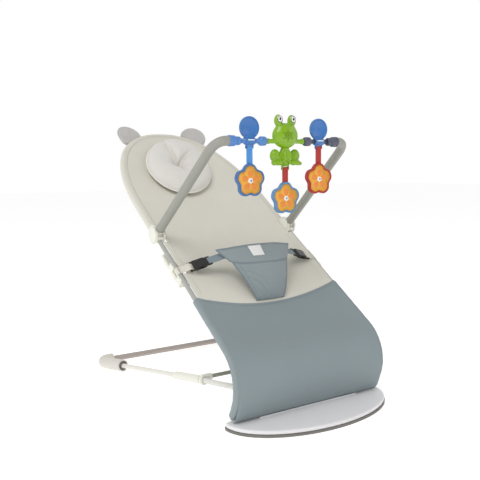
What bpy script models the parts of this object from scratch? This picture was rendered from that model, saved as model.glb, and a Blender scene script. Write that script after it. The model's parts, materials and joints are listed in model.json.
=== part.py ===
"""A baby bouncer: a fabric sling on a steel tube frame that reclines on a prop, with a swing-over toy bar.

Metres, +Z up, +Y towards the child's head. The origin is on the floor, under the seat hinge, in the middle
of the foot plate.
"""

import math

import bmesh
import bpy
from mathutils import Matrix, Vector

# Gaps between neighbouring pieces
GAP = 0.0003
RUNNING_GAP = 0.0005
LOOSE_GAP = 0.001

# Seat frame: a loop of tube seen from the side as a knee arc, a straight back and a gently curled head end
SEAT_TUBE_RADIUS = 0.005
HINGE_HEIGHT = 0.0225
KNEE_RADIUS = 0.080
FRONT_HEADING = math.radians(134.0)
RECLINE = math.radians(32.5)
BACK_LENGTH = 0.430
HEAD_CURL_RADIUS = 3.8
SEAT_HALF_WIDTH = 0.1735
ARCH_START = 0.600
ARCH_LENGTH = 0.293
ARCH_SQUARENESS = 2.3
FRONT_CORNER_START = 0.034
CORNER_STEPS = 6
KNEE_STEPS = 12
STATION_GAP = 0.004
FRONT_CORNER_INSET = 0.028
BLOCK_INSET = 0.0395
BLOCK_X = SEAT_HALF_WIDTH - BLOCK_INSET
FRONT_BAR_HALF_LENGTH = BLOCK_X

# Fabric covers
FABRIC = 0.0012
SLEEVE_RADIUS = SEAT_TUBE_RADIUS + 0.0023
SHEET_HEIGHT = SEAT_TUBE_RADIUS + 0.0012
SLING_SAG_SEAT = 0.018
SLING_SAG_BACK = 0.012
SLING_SAG_FRONT = 0.003
SAG_FRONT_FROM = 0.02
SAG_SEAT_FROM = 0.10
SAG_SEAT_FULL = 0.20
SAG_BACK_FROM = 0.22
SAG_BACK_FULL = 0.31
SAG_HEAD_FROM = 0.72
SAG_HEAD_MARGIN = 0.012
SEAM = 0.276
SEAM_DIP = 0.020
SEAM_GAP = 0.0008
BARE_EDGE_INSET = 0.0030
BARE_EDGE = SEAT_HALF_WIDTH - BARE_EDGE_INSET
NOTCH_IN_EDGE = 0.0130
STRAP_NOTCH_MARGIN = 0.0012
HUB_NOTCH_BELOW = 0.028
HUB_NOTCH_ABOVE = 0.0228
EDGE_NOTCH_DEPTH = 0.04
LOWER_SLEEVE_INSET = 0.0260
LOWER_SLEEVE_X = SEAT_HALF_WIDTH - LOWER_SLEEVE_INSET
HEM_LIFT = 0.0040
HEM_LENGTH = 0.05

# Hub and toy bar
HUB_T = 0.4856
HUB_N = 0.006
HUB_RADIUS = 0.020
HUB_CORE_RADIUS = 0.013
HUB_CORE_HALF = 0.0070
HUB_OPEN_FROM = math.radians(2.0)
HUB_OPEN_TO = math.radians(164.0)
STUD_RADIUS = 0.0070
STUD_HALF = 0.0090
SOCKET_RADIUS = 0.021
SOCKET_HALF = 0.0105
CHEEK = 0.0032
BRIDGE_HALF_WIDTH = 0.0090
BRIDGE_START = 0.0138
BRIDGE_END = 0.0170
STUB_RADIUS = 0.0080
STUB_END = 0.0320
ARM_RADIUS = 0.0095
ARM_BEND_RADIUS = 0.034
ARM_BEND_STEPS = 8
ARM_BEND_LEAD = 0.008
ARM_TOP_INSET = 0.0155
ARM_TOP_X = SEAT_HALF_WIDTH - ARM_TOP_INSET
ARM_END_INSET = 0.0425
ARM_END_X = SEAT_HALF_WIDTH - ARM_END_INSET
TOY_BAR_Y = 0.0683
TOY_BAR_Z = 0.5274
ROD_RADIUS = 0.003
SLEEVE_BORE = ROD_RADIUS + RUNNING_GAP
CAP_WIDE_RADIUS = 0.0105
CAP_NARROW_RADIUS = 0.008
CAP_WIDE_LENGTH = 0.016
CAP_LENGTH = 0.0255
TOY_SLEEVE_RADIUS = 0.0046
KNOB_RADIUS = 0.009
KNOB_LENGTH = 0.017
SLEEVE_INNER_X = 0.0452
DISC_X = (SLEEVE_INNER_X + KNOB_LENGTH + ARM_END_X - CAP_LENGTH) / 2
DISC_RADIUS = 0.0215
DISC_HEIGHT = 0.0250
DISC_THICKNESS = 0.006
CLAMP_RADIUS = 0.0072
CLAMP_HALF_LENGTH = 0.011

# Hanging flowers
PIN_RADIUS = 0.0016
PIN_DROP = 0.0120
LOOP_RADIUS = 0.0034
STRAP_HALF_WIDTH = 0.0062
STRAP_THICKNESS = 0.0016
FLOWER_MEAN_RADIUS = 0.0304
FLOWER_WAVE = 0.0028
FLOWER_LOBE_FLATTENING = 0.0006
FLOWER_TOP = FLOWER_MEAN_RADIUS + FLOWER_WAVE - FLOWER_LOBE_FLATTENING
FLOWER_THICKNESS = 0.009
FLOWER_SLOT_DEPTH = 0.008
SIDE_STRAP_LENGTH = 0.0310
CENTRE_STRAP_LENGTH = 0.0260
LUG_THICKNESS = 0.0018
LUG_DEPTH = 0.0046
FROG_PIN_DROP = 0.0535

# Frog
FROG_HEAD = (0.0280, 0.0170, 0.0245)
FROG_HEAD_LIFT = 0.0110
FROG_ARM_RADIUS = 0.0046
EYE_BUMP = (0.0085, 0.0085, 0.0118)
EYE_BUMP_LIFT = 0.0400
EYE_RADIUS = 0.0060
EYE_X = 0.0160
EYE_LIFT = 0.0425
EYE_FORWARD = 0.0040
FROG_TRUNK = (0.0150, 0.0120, 0.0180)
FROG_TRUNK_OFFSET = (0.0, 0.001, -0.0290)
FROG_THIGH = (0.0110, 0.0085, 0.0130)
FROG_THIGH_OFFSET = (0.0240, 0.001, -0.0285)
FROG_FOOT = (0.0150, 0.0110, 0.0065)
FROG_FOOT_OFFSET = (0.0195, -0.003, -0.0410)
FROG_HANGER_DROP = 0.036

# Recline racks under the side tubes, in (along the tube, away from the tube)
RACK_TO_HUB = 0.1421
RACK_T = HUB_T - RACK_TO_HUB
NOTCH_PITCH = 0.040
NOTCH_COUNT = 3
RACK_HALF_WIDTH = 0.0100
RACK_INSET = 0.0025
RACK_GRIP = 0.0024
RACK_BODY_TOP = 0.0078
RACK_DEPTH = 0.0150
CLIP_HALF_LENGTH = 0.009
NOTCH_RUN_IN = 0.0035
NOTCH_LIP = 0.0025

# Prop
AXLE_Y = 0.118
AXLE_Z = 0.064
AXLE_RADIUS = 0.004
PROP_BAR_RADIUS = 0.004
PROP_LEG_RADIUS = 0.0045
PROP_LEG_X = 0.075
PROP_RING_RADIUS = 0.0072
PROP_RING_HALF_LENGTH = 0.010
PROP_BAR_DEPTH = 0.0158
PROP_BAR_OVERHANG = 0.0040
PROP_BAR_HALF_LENGTH = SEAT_HALF_WIDTH + PROP_BAR_OVERHANG

# Base
BASE_TUBE_RADIUS = 0.0055
REAR_BAR_RADIUS = 0.0068
CORNER_X = 0.2375
CORNER_Y = 0.504
CORNER_HEIGHT = 0.0135
CORNER_FOOT_RADIUS = 0.0135
CORNER_BEND = 0.022
CORNER_FOOT_ALONG_RAIL = 0.098
CORNER_FOOT_ALONG_BAR = 0.030
CORNER_SOCKET = 0.022
CORNER_BAR_SOCKET = 0.012
RAIL_FRONT_INSET = 0.0075
RAIL_FRONT_X = SEAT_HALF_WIDTH - RAIL_FRONT_INSET
RAIL_FRONT_Y = 0.107
RAIL_FRONT_Z = 0.061
RAIL_BEND_SHIFT = 0.006
RAIL_BEND_X = BLOCK_X + RAIL_BEND_SHIFT
RAIL_BEND_Y = 0.052
RAIL_DROP_BEND = 0.026
MID_SLEEVE_RADIUS = 0.0086
MID_SLEEVE_REAR_Y = 0.203
MID_SLEEVE_FRONT_Y = 0.110
AXLE_BOSS_RADIUS = 0.0072
AXLE_BOSS_LENGTH = 0.020

# Foot plate
PLATE_OVERHANG = 0.0105
PLATE_HALF_WIDTH = SEAT_HALF_WIDTH + PLATE_OVERHANG
PLATE_DEPTH = 0.104
PLATE_TAIL_OVERHANG = 0.016
PLATE_TAIL_HALF_WIDTH = BLOCK_X + PLATE_TAIL_OVERHANG
PLATE_TAIL = 0.052
PAD_THICKNESS = 0.0046
PAD_OVERHANG = 0.0012
PLATE_TOP = 0.0125
PLATE_EDGE = 0.0015
PLATE_SHOULDER = 0.007
PLATE_TAIL_CORNER = 0.014

# Hinge blocks on the foot plate
BLOCK_HALF_WIDTH = 0.0105
BLOCK_BOSS_RADIUS = 0.0080
SOCKET_WALL = 0.003
PEG_RADIUS = 0.004
BLOCK_FLOOR = 0.003
PEDESTAL_HALF_DEPTH = 0.0045
RAIL_SOCKET_Y = 0.028
RAIL_POST = 0.020

# Harness
SEAM_TO_BAND = 0.054
BAND_T_MIDDLE = SEAM + SEAM_TO_BAND
RACK_TO_BAND_END = 0.0135
BAND_T_END = RACK_T + RACK_TO_BAND_END
BAND_HALF_WIDTH = 0.0225
BAND_TAPER = 0.0057
BAND_INSET = 0.0910
BAND_X = SEAT_HALF_WIDTH - BAND_INSET
BAND_FLARE = 0.0105
BAND_TILT = math.radians(17.0)
BAND_END_TILT = math.radians(11.0)
BAND_END_LIFT = 0.0068
BAND_TOP_N = 0.0615
BAND_FULLNESS = 2.33
BAND_THICKNESS = 0.005
SEAM_TO_CROTCH = 0.012
CROTCH_FOOT_T = SEAM - SEAM_TO_CROTCH
CROTCH_HALF_TOP = 0.0700
CROTCH_LEG_CURVE = 1.4
CROTCH_RISE = 1.6
CROTCH_TO_BAND = 0.0014
CROTCH_HALF_FOOT = 0.034
BUCKLE_T = RACK_T + NOTCH_PITCH / 2
BUCKLE_INSET = 0.0450
BUCKLE_X = SEAT_HALF_WIDTH - BUCKLE_INSET
BUCKLE_N = 0.0180
BUCKLE_TILT = math.radians(18.0)
WEB_HALF_WIDTH = 0.0100
WEB_THICKNESS = 0.0016
CROTCH_THICKNESS = 0.004

# Buckles, along the pull from a buckle's middle: less is towards the tube, more is towards the belly
BUCKLE_HALF_WIDTH = 0.0125
BUCKLE_HALF_HEIGHT = 0.0045
BUCKLE_TAIL = -0.0150
BUCKLE_MOUTH = 0.0120
BUCKLE_LOOP = -0.0255
CAVITY_HALF_HEIGHT = 0.0026
LOOP_HALF_HEIGHT = 0.0018
LOOP_BAR = 0.0028
TAIL_SLOT_HALF = 0.0108
WINDOW_FROM = -0.0065
WINDOW_TO = 0.0045
PLUG_HALF_WIDTH = 0.0110
PLUG_HALF_HEIGHT = 0.0024
TONGUE_HALF_WIDTH = 0.0022
CAVITY_END = -0.0100
PRONG_IN = 0.0062
PRONG_OUT = 0.0098
PLUG_BAR_END = 0.0150
PLUG_LOOP_END = 0.0245
WEB_TAIL_END = 0.0640
STRAP_LEAVES = math.radians(75)
STRAP_PATH = [
    (-0.0330, 0.0012),
    (-0.0275, 0.0029),
    (-0.0225, 0.0031),
    (-0.0206, 0.0021),
    (-0.0200, 0.0),
    (-0.0206, -0.0021),
    (-0.0225, -0.0031),
    (-0.0310, -0.0036),
]

# Pillow and ears
PILLOW_X = -0.008
PILLOW_T = 0.7465
PILLOW_TURN = math.radians(-25.0)
PILLOW_HALF_WIDTH = 0.086
PILLOW_HALF_LENGTH = 0.113
PILLOW_THICKNESS = 0.032
PILLOW_UNDERSIDE = 0.35
EAR_X = 0.083
EAR_TILT = math.radians(17.0)
EAR_RADIUS = 0.033
EAR_OUT = 0.020
EAR_THICKNESS = 0.008

LEFT, RIGHT = -1, 1
SIDES = {"left": LEFT, "right": RIGHT}

KNEE_LENGTH = KNEE_RADIUS * (FRONT_HEADING - RECLINE)
ARCH_TOP = ARCH_START + ARCH_LENGTH


def clear_scene():
    for item in list(bpy.data.objects):
        bpy.data.objects.remove(item, do_unlink=True)
    for collection in list(bpy.data.collections):
        bpy.data.collections.remove(collection)


def new_collection(name):
    collection = bpy.data.collections.new(name)
    bpy.context.scene.collection.children.link(collection)
    return collection


clear_scene()
PARTS = new_collection("baby_bouncer")
CUTTERS = new_collection("cutters")
CUTTERS.hide_render = True


def paint(name, colour, roughness, metallic=0.0):
    """A Principled material, made once for each name."""
    if name in bpy.data.materials:
        return bpy.data.materials[name]
    material = bpy.data.materials.new(name)
    material.use_nodes = True
    shader = material.node_tree.nodes["Principled BSDF"]
    shader.inputs["Base Color"].default_value = (*colour, 1.0)
    shader.inputs["Roughness"].default_value = roughness
    shader.inputs["Metallic"].default_value = metallic
    material.diffuse_color = (*colour, 1.0)
    return material


FRAME_WHITE = paint("frame_white", (0.72, 0.71, 0.67), 0.35, 0.1)
FRAME_BEIGE = paint("frame_beige", (0.42, 0.36, 0.32), 0.40, 0.2)
STEEL = paint("steel", (0.30, 0.30, 0.28), 0.35, 0.9)
GREY_PAINT = paint("arm_grey", (0.36, 0.36, 0.34), 0.40, 0.1)
WHITE_PLASTIC = paint("white_plastic", (0.78, 0.78, 0.72), 0.45)
RUBBER = paint("rubber", (0.10, 0.10, 0.09), 0.80)
PALE_RUBBER = paint("pale_rubber", (0.62, 0.60, 0.56), 0.65)
PLATE_GREY = paint("plate_grey", (0.60, 0.60, 0.60), 0.50)
CREAM = paint("cream_fabric", (0.66, 0.64, 0.57), 0.90)
BLUE_GREY = paint("blue_grey_fabric", (0.23, 0.30, 0.32), 0.90)
EAR_GREY = paint("ear_fabric", (0.46, 0.45, 0.43), 0.95)
PILLOW_WHITE = paint("pillow_fabric", (0.76, 0.74, 0.71), 0.92)
BLACK_PLASTIC = paint("black_plastic", (0.02, 0.02, 0.02), 0.40)
BLUE_PLASTIC = paint("blue_plastic", (0.08, 0.22, 0.55), 0.30)
DARK_PLASTIC = paint("dark_plastic", (0.08, 0.08, 0.12), 0.35)
FROG_GREEN = paint("frog_green", (0.25, 0.50, 0.03), 0.30)
EYE_WHITE = paint("eye_white", (0.85, 0.85, 0.85), 0.20)
BLUE_STRAP = paint("blue_strap", (0.08, 0.36, 0.75), 0.60)
RED_STRAP = paint("red_strap", (0.45, 0.03, 0.02), 0.60)
FLOWER_YELLOW = paint("flower_yellow", (0.80, 0.42, 0.05), 0.50)


def pivot(name, place):
    """An empty on a joint's axis, which carries the pieces that turn or slide there."""
    empty = bpy.data.objects.new(name, None)
    empty.empty_display_size = 0.02
    empty.location = place
    PARTS.objects.link(empty)
    return empty


def finish(item, name, material, carrier=None):
    """Name a piece, colour it, and hang it on the empty that carries it."""
    item.name = name
    item.data.name = name
    item.data.materials.clear()
    item.data.materials.append(material)
    for collection in list(item.users_collection):
        collection.objects.unlink(item)
    PARTS.objects.link(item)
    if carrier is not None:
        item.parent = carrier
        item.matrix_parent_inverse = Matrix.Translation(carrier.location).inverted()
    if item.type == "MESH":
        item.data.shade_smooth()
        item.data.set_sharp_from_angle(angle=math.radians(35))
    return item


def as_cutter(item):
    for collection in list(item.users_collection):
        collection.objects.unlink(item)
    CUTTERS.objects.link(item)
    item.hide_render = True
    item.display_type = "WIRE"
    return item


def mesh_object(name, shape):
    mesh = bpy.data.meshes.new(name)
    bmesh.ops.recalc_face_normals(shape, faces=shape.faces)
    shape.to_mesh(mesh)
    shape.free()
    item = bpy.data.objects.new(name, mesh)
    PARTS.objects.link(item)
    return item


def curve_object(name, dimensions):
    curve = bpy.data.curves.new(name, "CURVE")
    curve.dimensions = dimensions
    curve.resolution_u = 1
    curve.render_resolution_u = 0
    item = bpy.data.objects.new(name, curve)
    PARTS.objects.link(item)
    return item


def rod(name, points, radius, resolution=4):
    """A round bar or tube along a list of points, with flat ends."""
    item = curve_object(name, "3D")
    curve = item.data
    spline = curve.splines.new("POLY")
    spline.points.add(len(points) - 1)
    for target, place in zip(spline.points, points):
        target.co = (*place, 1.0)
    curve.bevel_depth = radius
    curve.bevel_resolution = resolution
    curve.use_fill_caps = True
    return item


def flat_shape(name, outline, thickness, edge=0.0):
    """A flat outline in the local XY plane, as thick along local Z as given, with rounded edges."""
    item = curve_object(name, "2D")
    curve = item.data
    curve.fill_mode = "BOTH"
    spline = curve.splines.new("POLY")
    spline.points.add(len(outline) - 1)
    for target, (across, along) in zip(spline.points, outline):
        target.co = (across, along, 0.0, 1.0)
    spline.use_cyclic_u = True
    curve.extrude = thickness / 2 - edge
    if edge:
        curve.bevel_depth = edge
        curve.bevel_resolution = 0
        curve.offset = -edge
    return item


def solid(item):
    """The same piece as a closed mesh, which Booleans can cut."""
    bpy.context.view_layer.update()
    evaluated = item.evaluated_get(bpy.context.evaluated_depsgraph_get())
    mesh = bpy.data.meshes.new_from_object(evaluated)
    shape = bmesh.new()
    shape.from_mesh(mesh)
    bmesh.ops.remove_doubles(shape, verts=shape.verts, dist=1e-6)
    bmesh.ops.recalc_face_normals(shape, faces=shape.faces)
    shape.to_mesh(mesh)
    shape.free()
    name = item.name
    made = bpy.data.objects.new(name + "_solid", mesh)
    made.matrix_world = item.matrix_world.copy()
    PARTS.objects.link(made)
    bpy.data.objects.remove(item, do_unlink=True)
    made.name = name
    return made


def boolean(item, other, operation):
    change = item.modifiers.new(operation.lower(), "BOOLEAN")
    change.operation = operation
    change.object = as_cutter(other)
    change.solver = "EXACT"
    return item


def join(item, *others):
    for other in others:
        boolean(item, other, "UNION")
    return item


def cut(item, *others):
    for other in others:
        boolean(item, other, "DIFFERENCE")
    return item


def box(name, size, place=(0, 0, 0), edge=0.0, turn=None):
    """A box of full size (x, y, z), with rounded edges, centred on a place and turned by a matrix."""
    shape = bmesh.new()
    bmesh.ops.create_cube(shape, size=1.0)
    bmesh.ops.scale(shape, verts=shape.verts, vec=size)
    if edge:
        bmesh.ops.bevel(
            shape, geom=shape.edges, offset=edge, segments=1, profile=0.5, affect="EDGES"
        )
    item = mesh_object(name, shape)
    item.matrix_world = Matrix.Translation(place) @ (turn or Matrix.Identity(4))
    return item


def direction_matrix(direction):
    """A turn that takes local Z to a direction."""
    return Vector(direction).to_track_quat("Z", "Y").to_matrix().to_4x4()


def cylinder(name, start, end, radius, sides=20):
    """A straight round bar from one point to another."""
    start, end = Vector(start), Vector(end)
    shape = bmesh.new()
    bmesh.ops.create_cone(
        shape, cap_ends=True, segments=sides, radius1=radius, radius2=radius, depth=(end - start).length
    )
    item = mesh_object(name, shape)
    item.matrix_world = Matrix.Translation((start + end) / 2) @ direction_matrix(end - start)
    return item


def ball(name, radii, place, across=16, rings=10):
    shape = bmesh.new()
    bmesh.ops.create_uvsphere(shape, u_segments=across, v_segments=rings, radius=1.0)
    bmesh.ops.scale(shape, verts=shape.verts, vec=radii)
    item = mesh_object(name, shape)
    item.location = place
    return item


def turned(name, profile, place, axis, sides=20):
    """A piece turned about an axis. The profile is (radius, height) pairs, down the outside and up the bore."""
    shape = bmesh.new()
    corners = [shape.verts.new((radius, 0.0, height)) for radius, height in profile]
    for first, second in zip(corners, corners[1:] + corners[:1]):
        if first.co.x > 0 or second.co.x > 0:
            shape.edges.new((first, second))
    mesh = bpy.data.meshes.new(name)
    shape.to_mesh(mesh)
    shape.free()
    item = bpy.data.objects.new(name, mesh)
    PARTS.objects.link(item)
    screw = item.modifiers.new("turn", "SCREW")
    screw.axis = "Z"
    screw.steps = sides
    screw.render_steps = sides
    screw.use_merge_vertices = True
    screw.merge_threshold = 0.00001
    item.matrix_world = Matrix.Translation(place) @ direction_matrix(axis)
    return item


def sheet(name, columns, rows, surface, thickness):
    """A thin curved sheet: a grid whose points are placed by surface(u, v), with u and v from 0 to 1."""
    shape = bmesh.new()
    bmesh.ops.create_grid(shape, x_segments=columns, y_segments=rows, size=0.5)
    for corner in shape.verts:
        corner.co = surface(corner.co.x + 0.5, corner.co.y + 0.5)
    item = mesh_object(name, shape)
    shell = item.modifiers.new("thickness", "SOLIDIFY")
    shell.thickness = thickness
    shell.offset = 0.0
    shell.use_even_offset = True
    return item


def smooth_step(value, low, high):
    share = min(1.0, max(0.0, (value - low) / (high - low)))
    return share * share * (3 - 2 * share)


# Seat surface. t runs up the frame from the hinge, n stands square to it on the child's side.


def seat_path(t):
    """Y, Z and heading of the seat tube's centre line, at length t from the hinge."""
    centre_y = KNEE_RADIUS * math.sin(FRONT_HEADING)
    centre_z = HINGE_HEIGHT - KNEE_RADIUS * math.cos(FRONT_HEADING)
    knee = min(max(t, 0.0), KNEE_LENGTH)
    heading = FRONT_HEADING - knee / KNEE_RADIUS
    y = centre_y - KNEE_RADIUS * math.sin(heading)
    z = centre_z + KNEE_RADIUS * math.cos(heading)
    back = min(max(t - KNEE_LENGTH, 0.0), BACK_LENGTH)
    y += back * math.cos(RECLINE)
    z += back * math.sin(RECLINE)
    head = max(t - KNEE_LENGTH - BACK_LENGTH, 0.0)
    if head:
        heading = RECLINE + head / HEAD_CURL_RADIUS
        y += HEAD_CURL_RADIUS * (math.sin(heading) - math.sin(RECLINE))
        z -= HEAD_CURL_RADIUS * (math.cos(heading) - math.cos(RECLINE))
    return y, z, heading


def seat_point(x, t, n=0.0):
    y, z, heading = seat_path(t)
    return Vector((x, y - n * math.sin(heading), z + n * math.cos(heading)))


def half_width(t):
    """Half the distance between the two side tubes' centre lines."""
    rise = min(max((t - ARCH_START) / ARCH_LENGTH, 0.0), 1.0)
    return SEAT_HALF_WIDTH * (1 - rise**ARCH_SQUARENESS) ** (1 / ARCH_SQUARENESS)


def arch_t(angle):
    """Length t of the arch at an angle from its start, 0, to its top, a quarter turn."""
    return ARCH_START + ARCH_LENGTH * math.sin(angle) ** (2 / ARCH_SQUARENESS)


def sag(t):
    back = smooth_step(t, SAG_BACK_FROM, SAG_BACK_FULL)
    deep = SLING_SAG_SEAT - (SLING_SAG_SEAT - SLING_SAG_BACK) * back
    deep *= smooth_step(t, SAG_SEAT_FROM, SAG_SEAT_FULL) * (1 - smooth_step(t, SAG_HEAD_FROM, ARCH_TOP))
    return SLING_SAG_FRONT * smooth_step(t, SAG_FRONT_FROM, SAG_SEAT_FROM) + deep


def sheet_n(x, t):
    """Height of the sling's middle surface above the frame's plane."""
    across = min(abs(x) / half_width(min(t, ARCH_TOP - SAG_HEAD_MARGIN)), 1.0)
    hem = HEM_LIFT * (1 - smooth_step(t, 0.0, HEM_LENGTH))
    return SHEET_HEIGHT + hem - sag(t) * (1 - across**2)


def seam_t(x):
    return SEAM - SEAM_DIP * (1 - (x / SEAT_HALF_WIDTH) ** 2)


def side_stations(start, end):
    """Lengths t between two ends at which each piece on a side tube has its rings, closest in the knee."""
    knee = [KNEE_LENGTH * step / KNEE_STEPS for step in range(KNEE_STEPS + 1)]
    return [start] + [t for t in knee if start + STATION_GAP < t < end - STATION_GAP] + [end]


def side_tube_points(side, start, end):
    """Points of a side tube's centre line between two lengths."""
    return [seat_point(side * half_width(t), t) for t in side_stations(start, end)]


def bent_tube_points(side, inner_x, end):
    """Points of a side tube from under the front of the seat, round the corner and up to a length."""
    low = seat_point(side * SEAT_HALF_WIDTH, FRONT_CORNER_START)
    corner = Vector((side * SEAT_HALF_WIDTH, 0.0, HINGE_HEIGHT))
    inner = corner - Vector((side * FRONT_CORNER_INSET, 0.0, 0.0))
    points = [Vector((side * inner_x, 0.0, HINGE_HEIGHT))]
    for step in range(CORNER_STEPS):
        share = step / CORNER_STEPS
        place = inner * (1 - share) ** 2 + corner * 2 * share * (1 - share) + low * share**2
        if abs(place.x) > inner_x + STATION_GAP / 2:
            points.append(place)
    return points + side_tube_points(side, FRONT_CORNER_START, end)


def arch_points(start, steps=11):
    """Points of the tube from a length on the left side, over the top, to the same length on the right."""
    points = []
    straight = 4
    for step in range(straight):
        t = start + (ARCH_START - start) * step / straight
        points.append(seat_point(half_width(t), t))
    for step in range(steps):
        angle = math.pi / 2 * step / steps
        width = SEAT_HALF_WIDTH * math.cos(angle) ** (2 / ARCH_SQUARENESS)
        points.append(seat_point(width, arch_t(angle)))
    left = [Vector((-point.x, point.y, point.z)) for point in points]
    return left + [seat_point(0.0, ARCH_TOP)] + points[::-1]


SEAT = pivot("seat_hinge", (0.0, 0.0, HINGE_HEIGHT))
HUB = seat_point(0.0, HUB_T, HUB_N)
TOY_BAR = pivot("toy_bar_hinge", HUB)


def seat_frame():
    for word, side in SIDES.items():
        points = bent_tube_points(side, FRONT_BAR_HALF_LENGTH + GAP, HUB_T - GAP)
        finish(rod(f"seat_tube_{word}", points, SEAT_TUBE_RADIUS), f"seat_tube_{word}", FRAME_WHITE, SEAT)
    bar = cylinder(
        "front_bar",
        (-FRONT_BAR_HALF_LENGTH, 0.0, HINGE_HEIGHT),
        (FRONT_BAR_HALF_LENGTH, 0.0, HINGE_HEIGHT),
        SEAT_TUBE_RADIUS,
        12,
    )
    finish(bar, "front_bar", STEEL, SEAT)
    finish(rod("seat_arch", arch_points(HUB_T + GAP), SEAT_TUBE_RADIUS), "seat_arch", FRAME_WHITE, SEAT)


def lower_cover():
    """The blue-grey front of the sling, sleeved over both side tubes and hanging down to the foot plate."""

    def surface(u, v):
        x = (2 * u - 1) * SEAT_HALF_WIDTH
        t = v * (seam_t(x) - SEAM_GAP / 2)
        x *= half_width(t) / SEAT_HALF_WIDTH
        return seat_point(x, t, sheet_n(x, t))

    cover = sheet("lower_cover", 10, 16, surface, FABRIC)
    for side in SIDES.values():
        points = bent_tube_points(side, LOWER_SLEEVE_X, SEAM - SEAM_GAP / 2)
        join(cover, solid(rod("lower_sleeve", points, SLEEVE_RADIUS)))
    for side in SIDES.values():
        points = bent_tube_points(side, LOWER_SLEEVE_X - 0.01, SEAM + 0.01)
        cut(cover, solid(rod("lower_bore", points, SEAT_TUBE_RADIUS + RUNNING_GAP)))
    return finish(cover, "lower_cover", BLUE_GREY, SEAT)


def upper_width(t):
    """Half width of the cream sheet: nearly over the tubes below the hubs, and right over them above."""
    sleeved = smooth_step(t, HUB_T + SOCKET_RADIUS + 0.002, HUB_T + SOCKET_RADIUS + 0.020)
    return BARE_EDGE + (half_width(t) - BARE_EDGE) * sleeved


def edge_notch(side, start, end):
    """A box that takes a notch out of the cream sheet's side edge, from one length to another."""
    inner = SEAT_HALF_WIDTH - NOTCH_IN_EDGE
    place = seat_point(side * (inner + EDGE_NOTCH_DEPTH / 2), (start + end) / 2)
    size = (EDGE_NOTCH_DEPTH, end - start, EDGE_NOTCH_DEPTH)
    return box("edge_notch", size, place, turn=Matrix.Rotation(RECLINE, 4, "X"))


def upper_cover():
    """The cream back of the sling, sleeved over the arch above the hubs, and notched at straps and hubs."""
    arch_share = 0.5
    last_angle = math.radians(72)

    def surface(u, v):
        across = 2 * u - 1
        if v <= 1 - arch_share:
            start = seam_t(across * SEAT_HALF_WIDTH) + SEAM_GAP / 2
            t = start + (ARCH_START - start) * v / (1 - arch_share)
        else:
            t = arch_t(last_angle * (v - 1 + arch_share) / arch_share)
        x = across * upper_width(t)
        last = arch_t(last_angle)
        t += (ARCH_TOP - last) * smooth_step(t, ARCH_START, last) * (1 - across**2)
        return seat_point(x, t, sheet_n(x, t))

    cover = sheet("upper_cover", 10, 20, surface, FABRIC)
    strap_half = WEB_HALF_WIDTH + STRAP_NOTCH_MARGIN
    for side in SIDES.values():
        cut(cover, edge_notch(side, BUCKLE_T - strap_half, BUCKLE_T + strap_half))
        cut(cover, edge_notch(side, HUB_T - HUB_NOTCH_BELOW, HUB_T + HUB_NOTCH_ABOVE))
    sleeve_start = HUB_T + SOCKET_RADIUS + 0.0025
    join(cover, solid(rod("upper_sleeve", arch_points(sleeve_start), SLEEVE_RADIUS)))
    cut(cover, solid(rod("upper_bore", arch_points(sleeve_start - 0.01), SEAT_TUBE_RADIUS + RUNNING_GAP)))
    return finish(cover, "upper_cover", CREAM, SEAT)


def outline_normal(x):
    """The arch's point at a distance x from the middle, with its outward direction in the seat's plane."""
    share = (x / SEAT_HALF_WIDTH) ** ARCH_SQUARENESS
    t = ARCH_START + ARCH_LENGTH * (1 - share) ** (1 / ARCH_SQUARENESS)
    slope_x = x ** (ARCH_SQUARENESS - 1) / SEAT_HALF_WIDTH**ARCH_SQUARENESS
    slope_t = ((t - ARCH_START) / ARCH_LENGTH) ** (ARCH_SQUARENESS - 1) / ARCH_LENGTH
    length = math.hypot(slope_x, slope_t)
    return t, slope_x / length, slope_t / length


def ears():
    """Two flat fabric ears sewn to the arch."""
    t, out_x, out_t = outline_normal(EAR_X)
    _, _, heading = seat_path(t)
    base = math.acos(EAR_OUT / EAR_RADIUS)
    outline = []
    for step in range(13):
        angle = math.pi / 2 + (math.pi - base) * (step / 6 - 1)
        outline.append((EAR_RADIUS * math.cos(angle), EAR_OUT + EAR_RADIUS * math.sin(angle)))
    for word, side in SIDES.items():
        normal = Vector((0.0, -math.sin(heading), math.cos(heading)))
        outward = Vector((side * out_x, out_t * math.cos(heading), out_t * math.sin(heading)))
        along = outward * math.cos(EAR_TILT) + normal * math.sin(EAR_TILT)
        across = outward.cross(normal)
        turn = Matrix((across, along, across.cross(along))).transposed().to_4x4()
        ear = flat_shape("ear", outline, EAR_THICKNESS, 0.002)
        ear.matrix_world = Matrix.Translation(seat_point(side * EAR_X, t)) @ turn
        ear = solid(ear)
        cut(ear, solid(rod("ear_seat", arch_points(HUB_T + 0.05), SLEEVE_RADIUS + GAP)))
        finish(ear, f"ear_{word}", EAR_GREY, SEAT)


def pillow():
    """A round head pillow that lies on the cream sling."""
    shape = bmesh.new()
    bmesh.ops.create_uvsphere(shape, u_segments=24, v_segments=12, radius=1.0)
    for corner in shape.verts:
        across, along = corner.co.x * PILLOW_HALF_WIDTH, corner.co.y * PILLOW_HALF_LENGTH
        x = PILLOW_X + across * math.cos(PILLOW_TURN) - along * math.sin(PILLOW_TURN)
        t = PILLOW_T + across * math.sin(PILLOW_TURN) + along * math.cos(PILLOW_TURN)
        lift = corner.co.z if corner.co.z > 0 else corner.co.z * PILLOW_UNDERSIDE
        height = PILLOW_THICKNESS * (lift + PILLOW_UNDERSIDE) / (1 + PILLOW_UNDERSIDE)
        corner.co = seat_point(x, t, sheet_n(x, t) + FABRIC / 2 + LOOSE_GAP * 0.7 + height)
    return finish(mesh_object("head_pillow", shape), "head_pillow", PILLOW_WHITE, SEAT)


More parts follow.
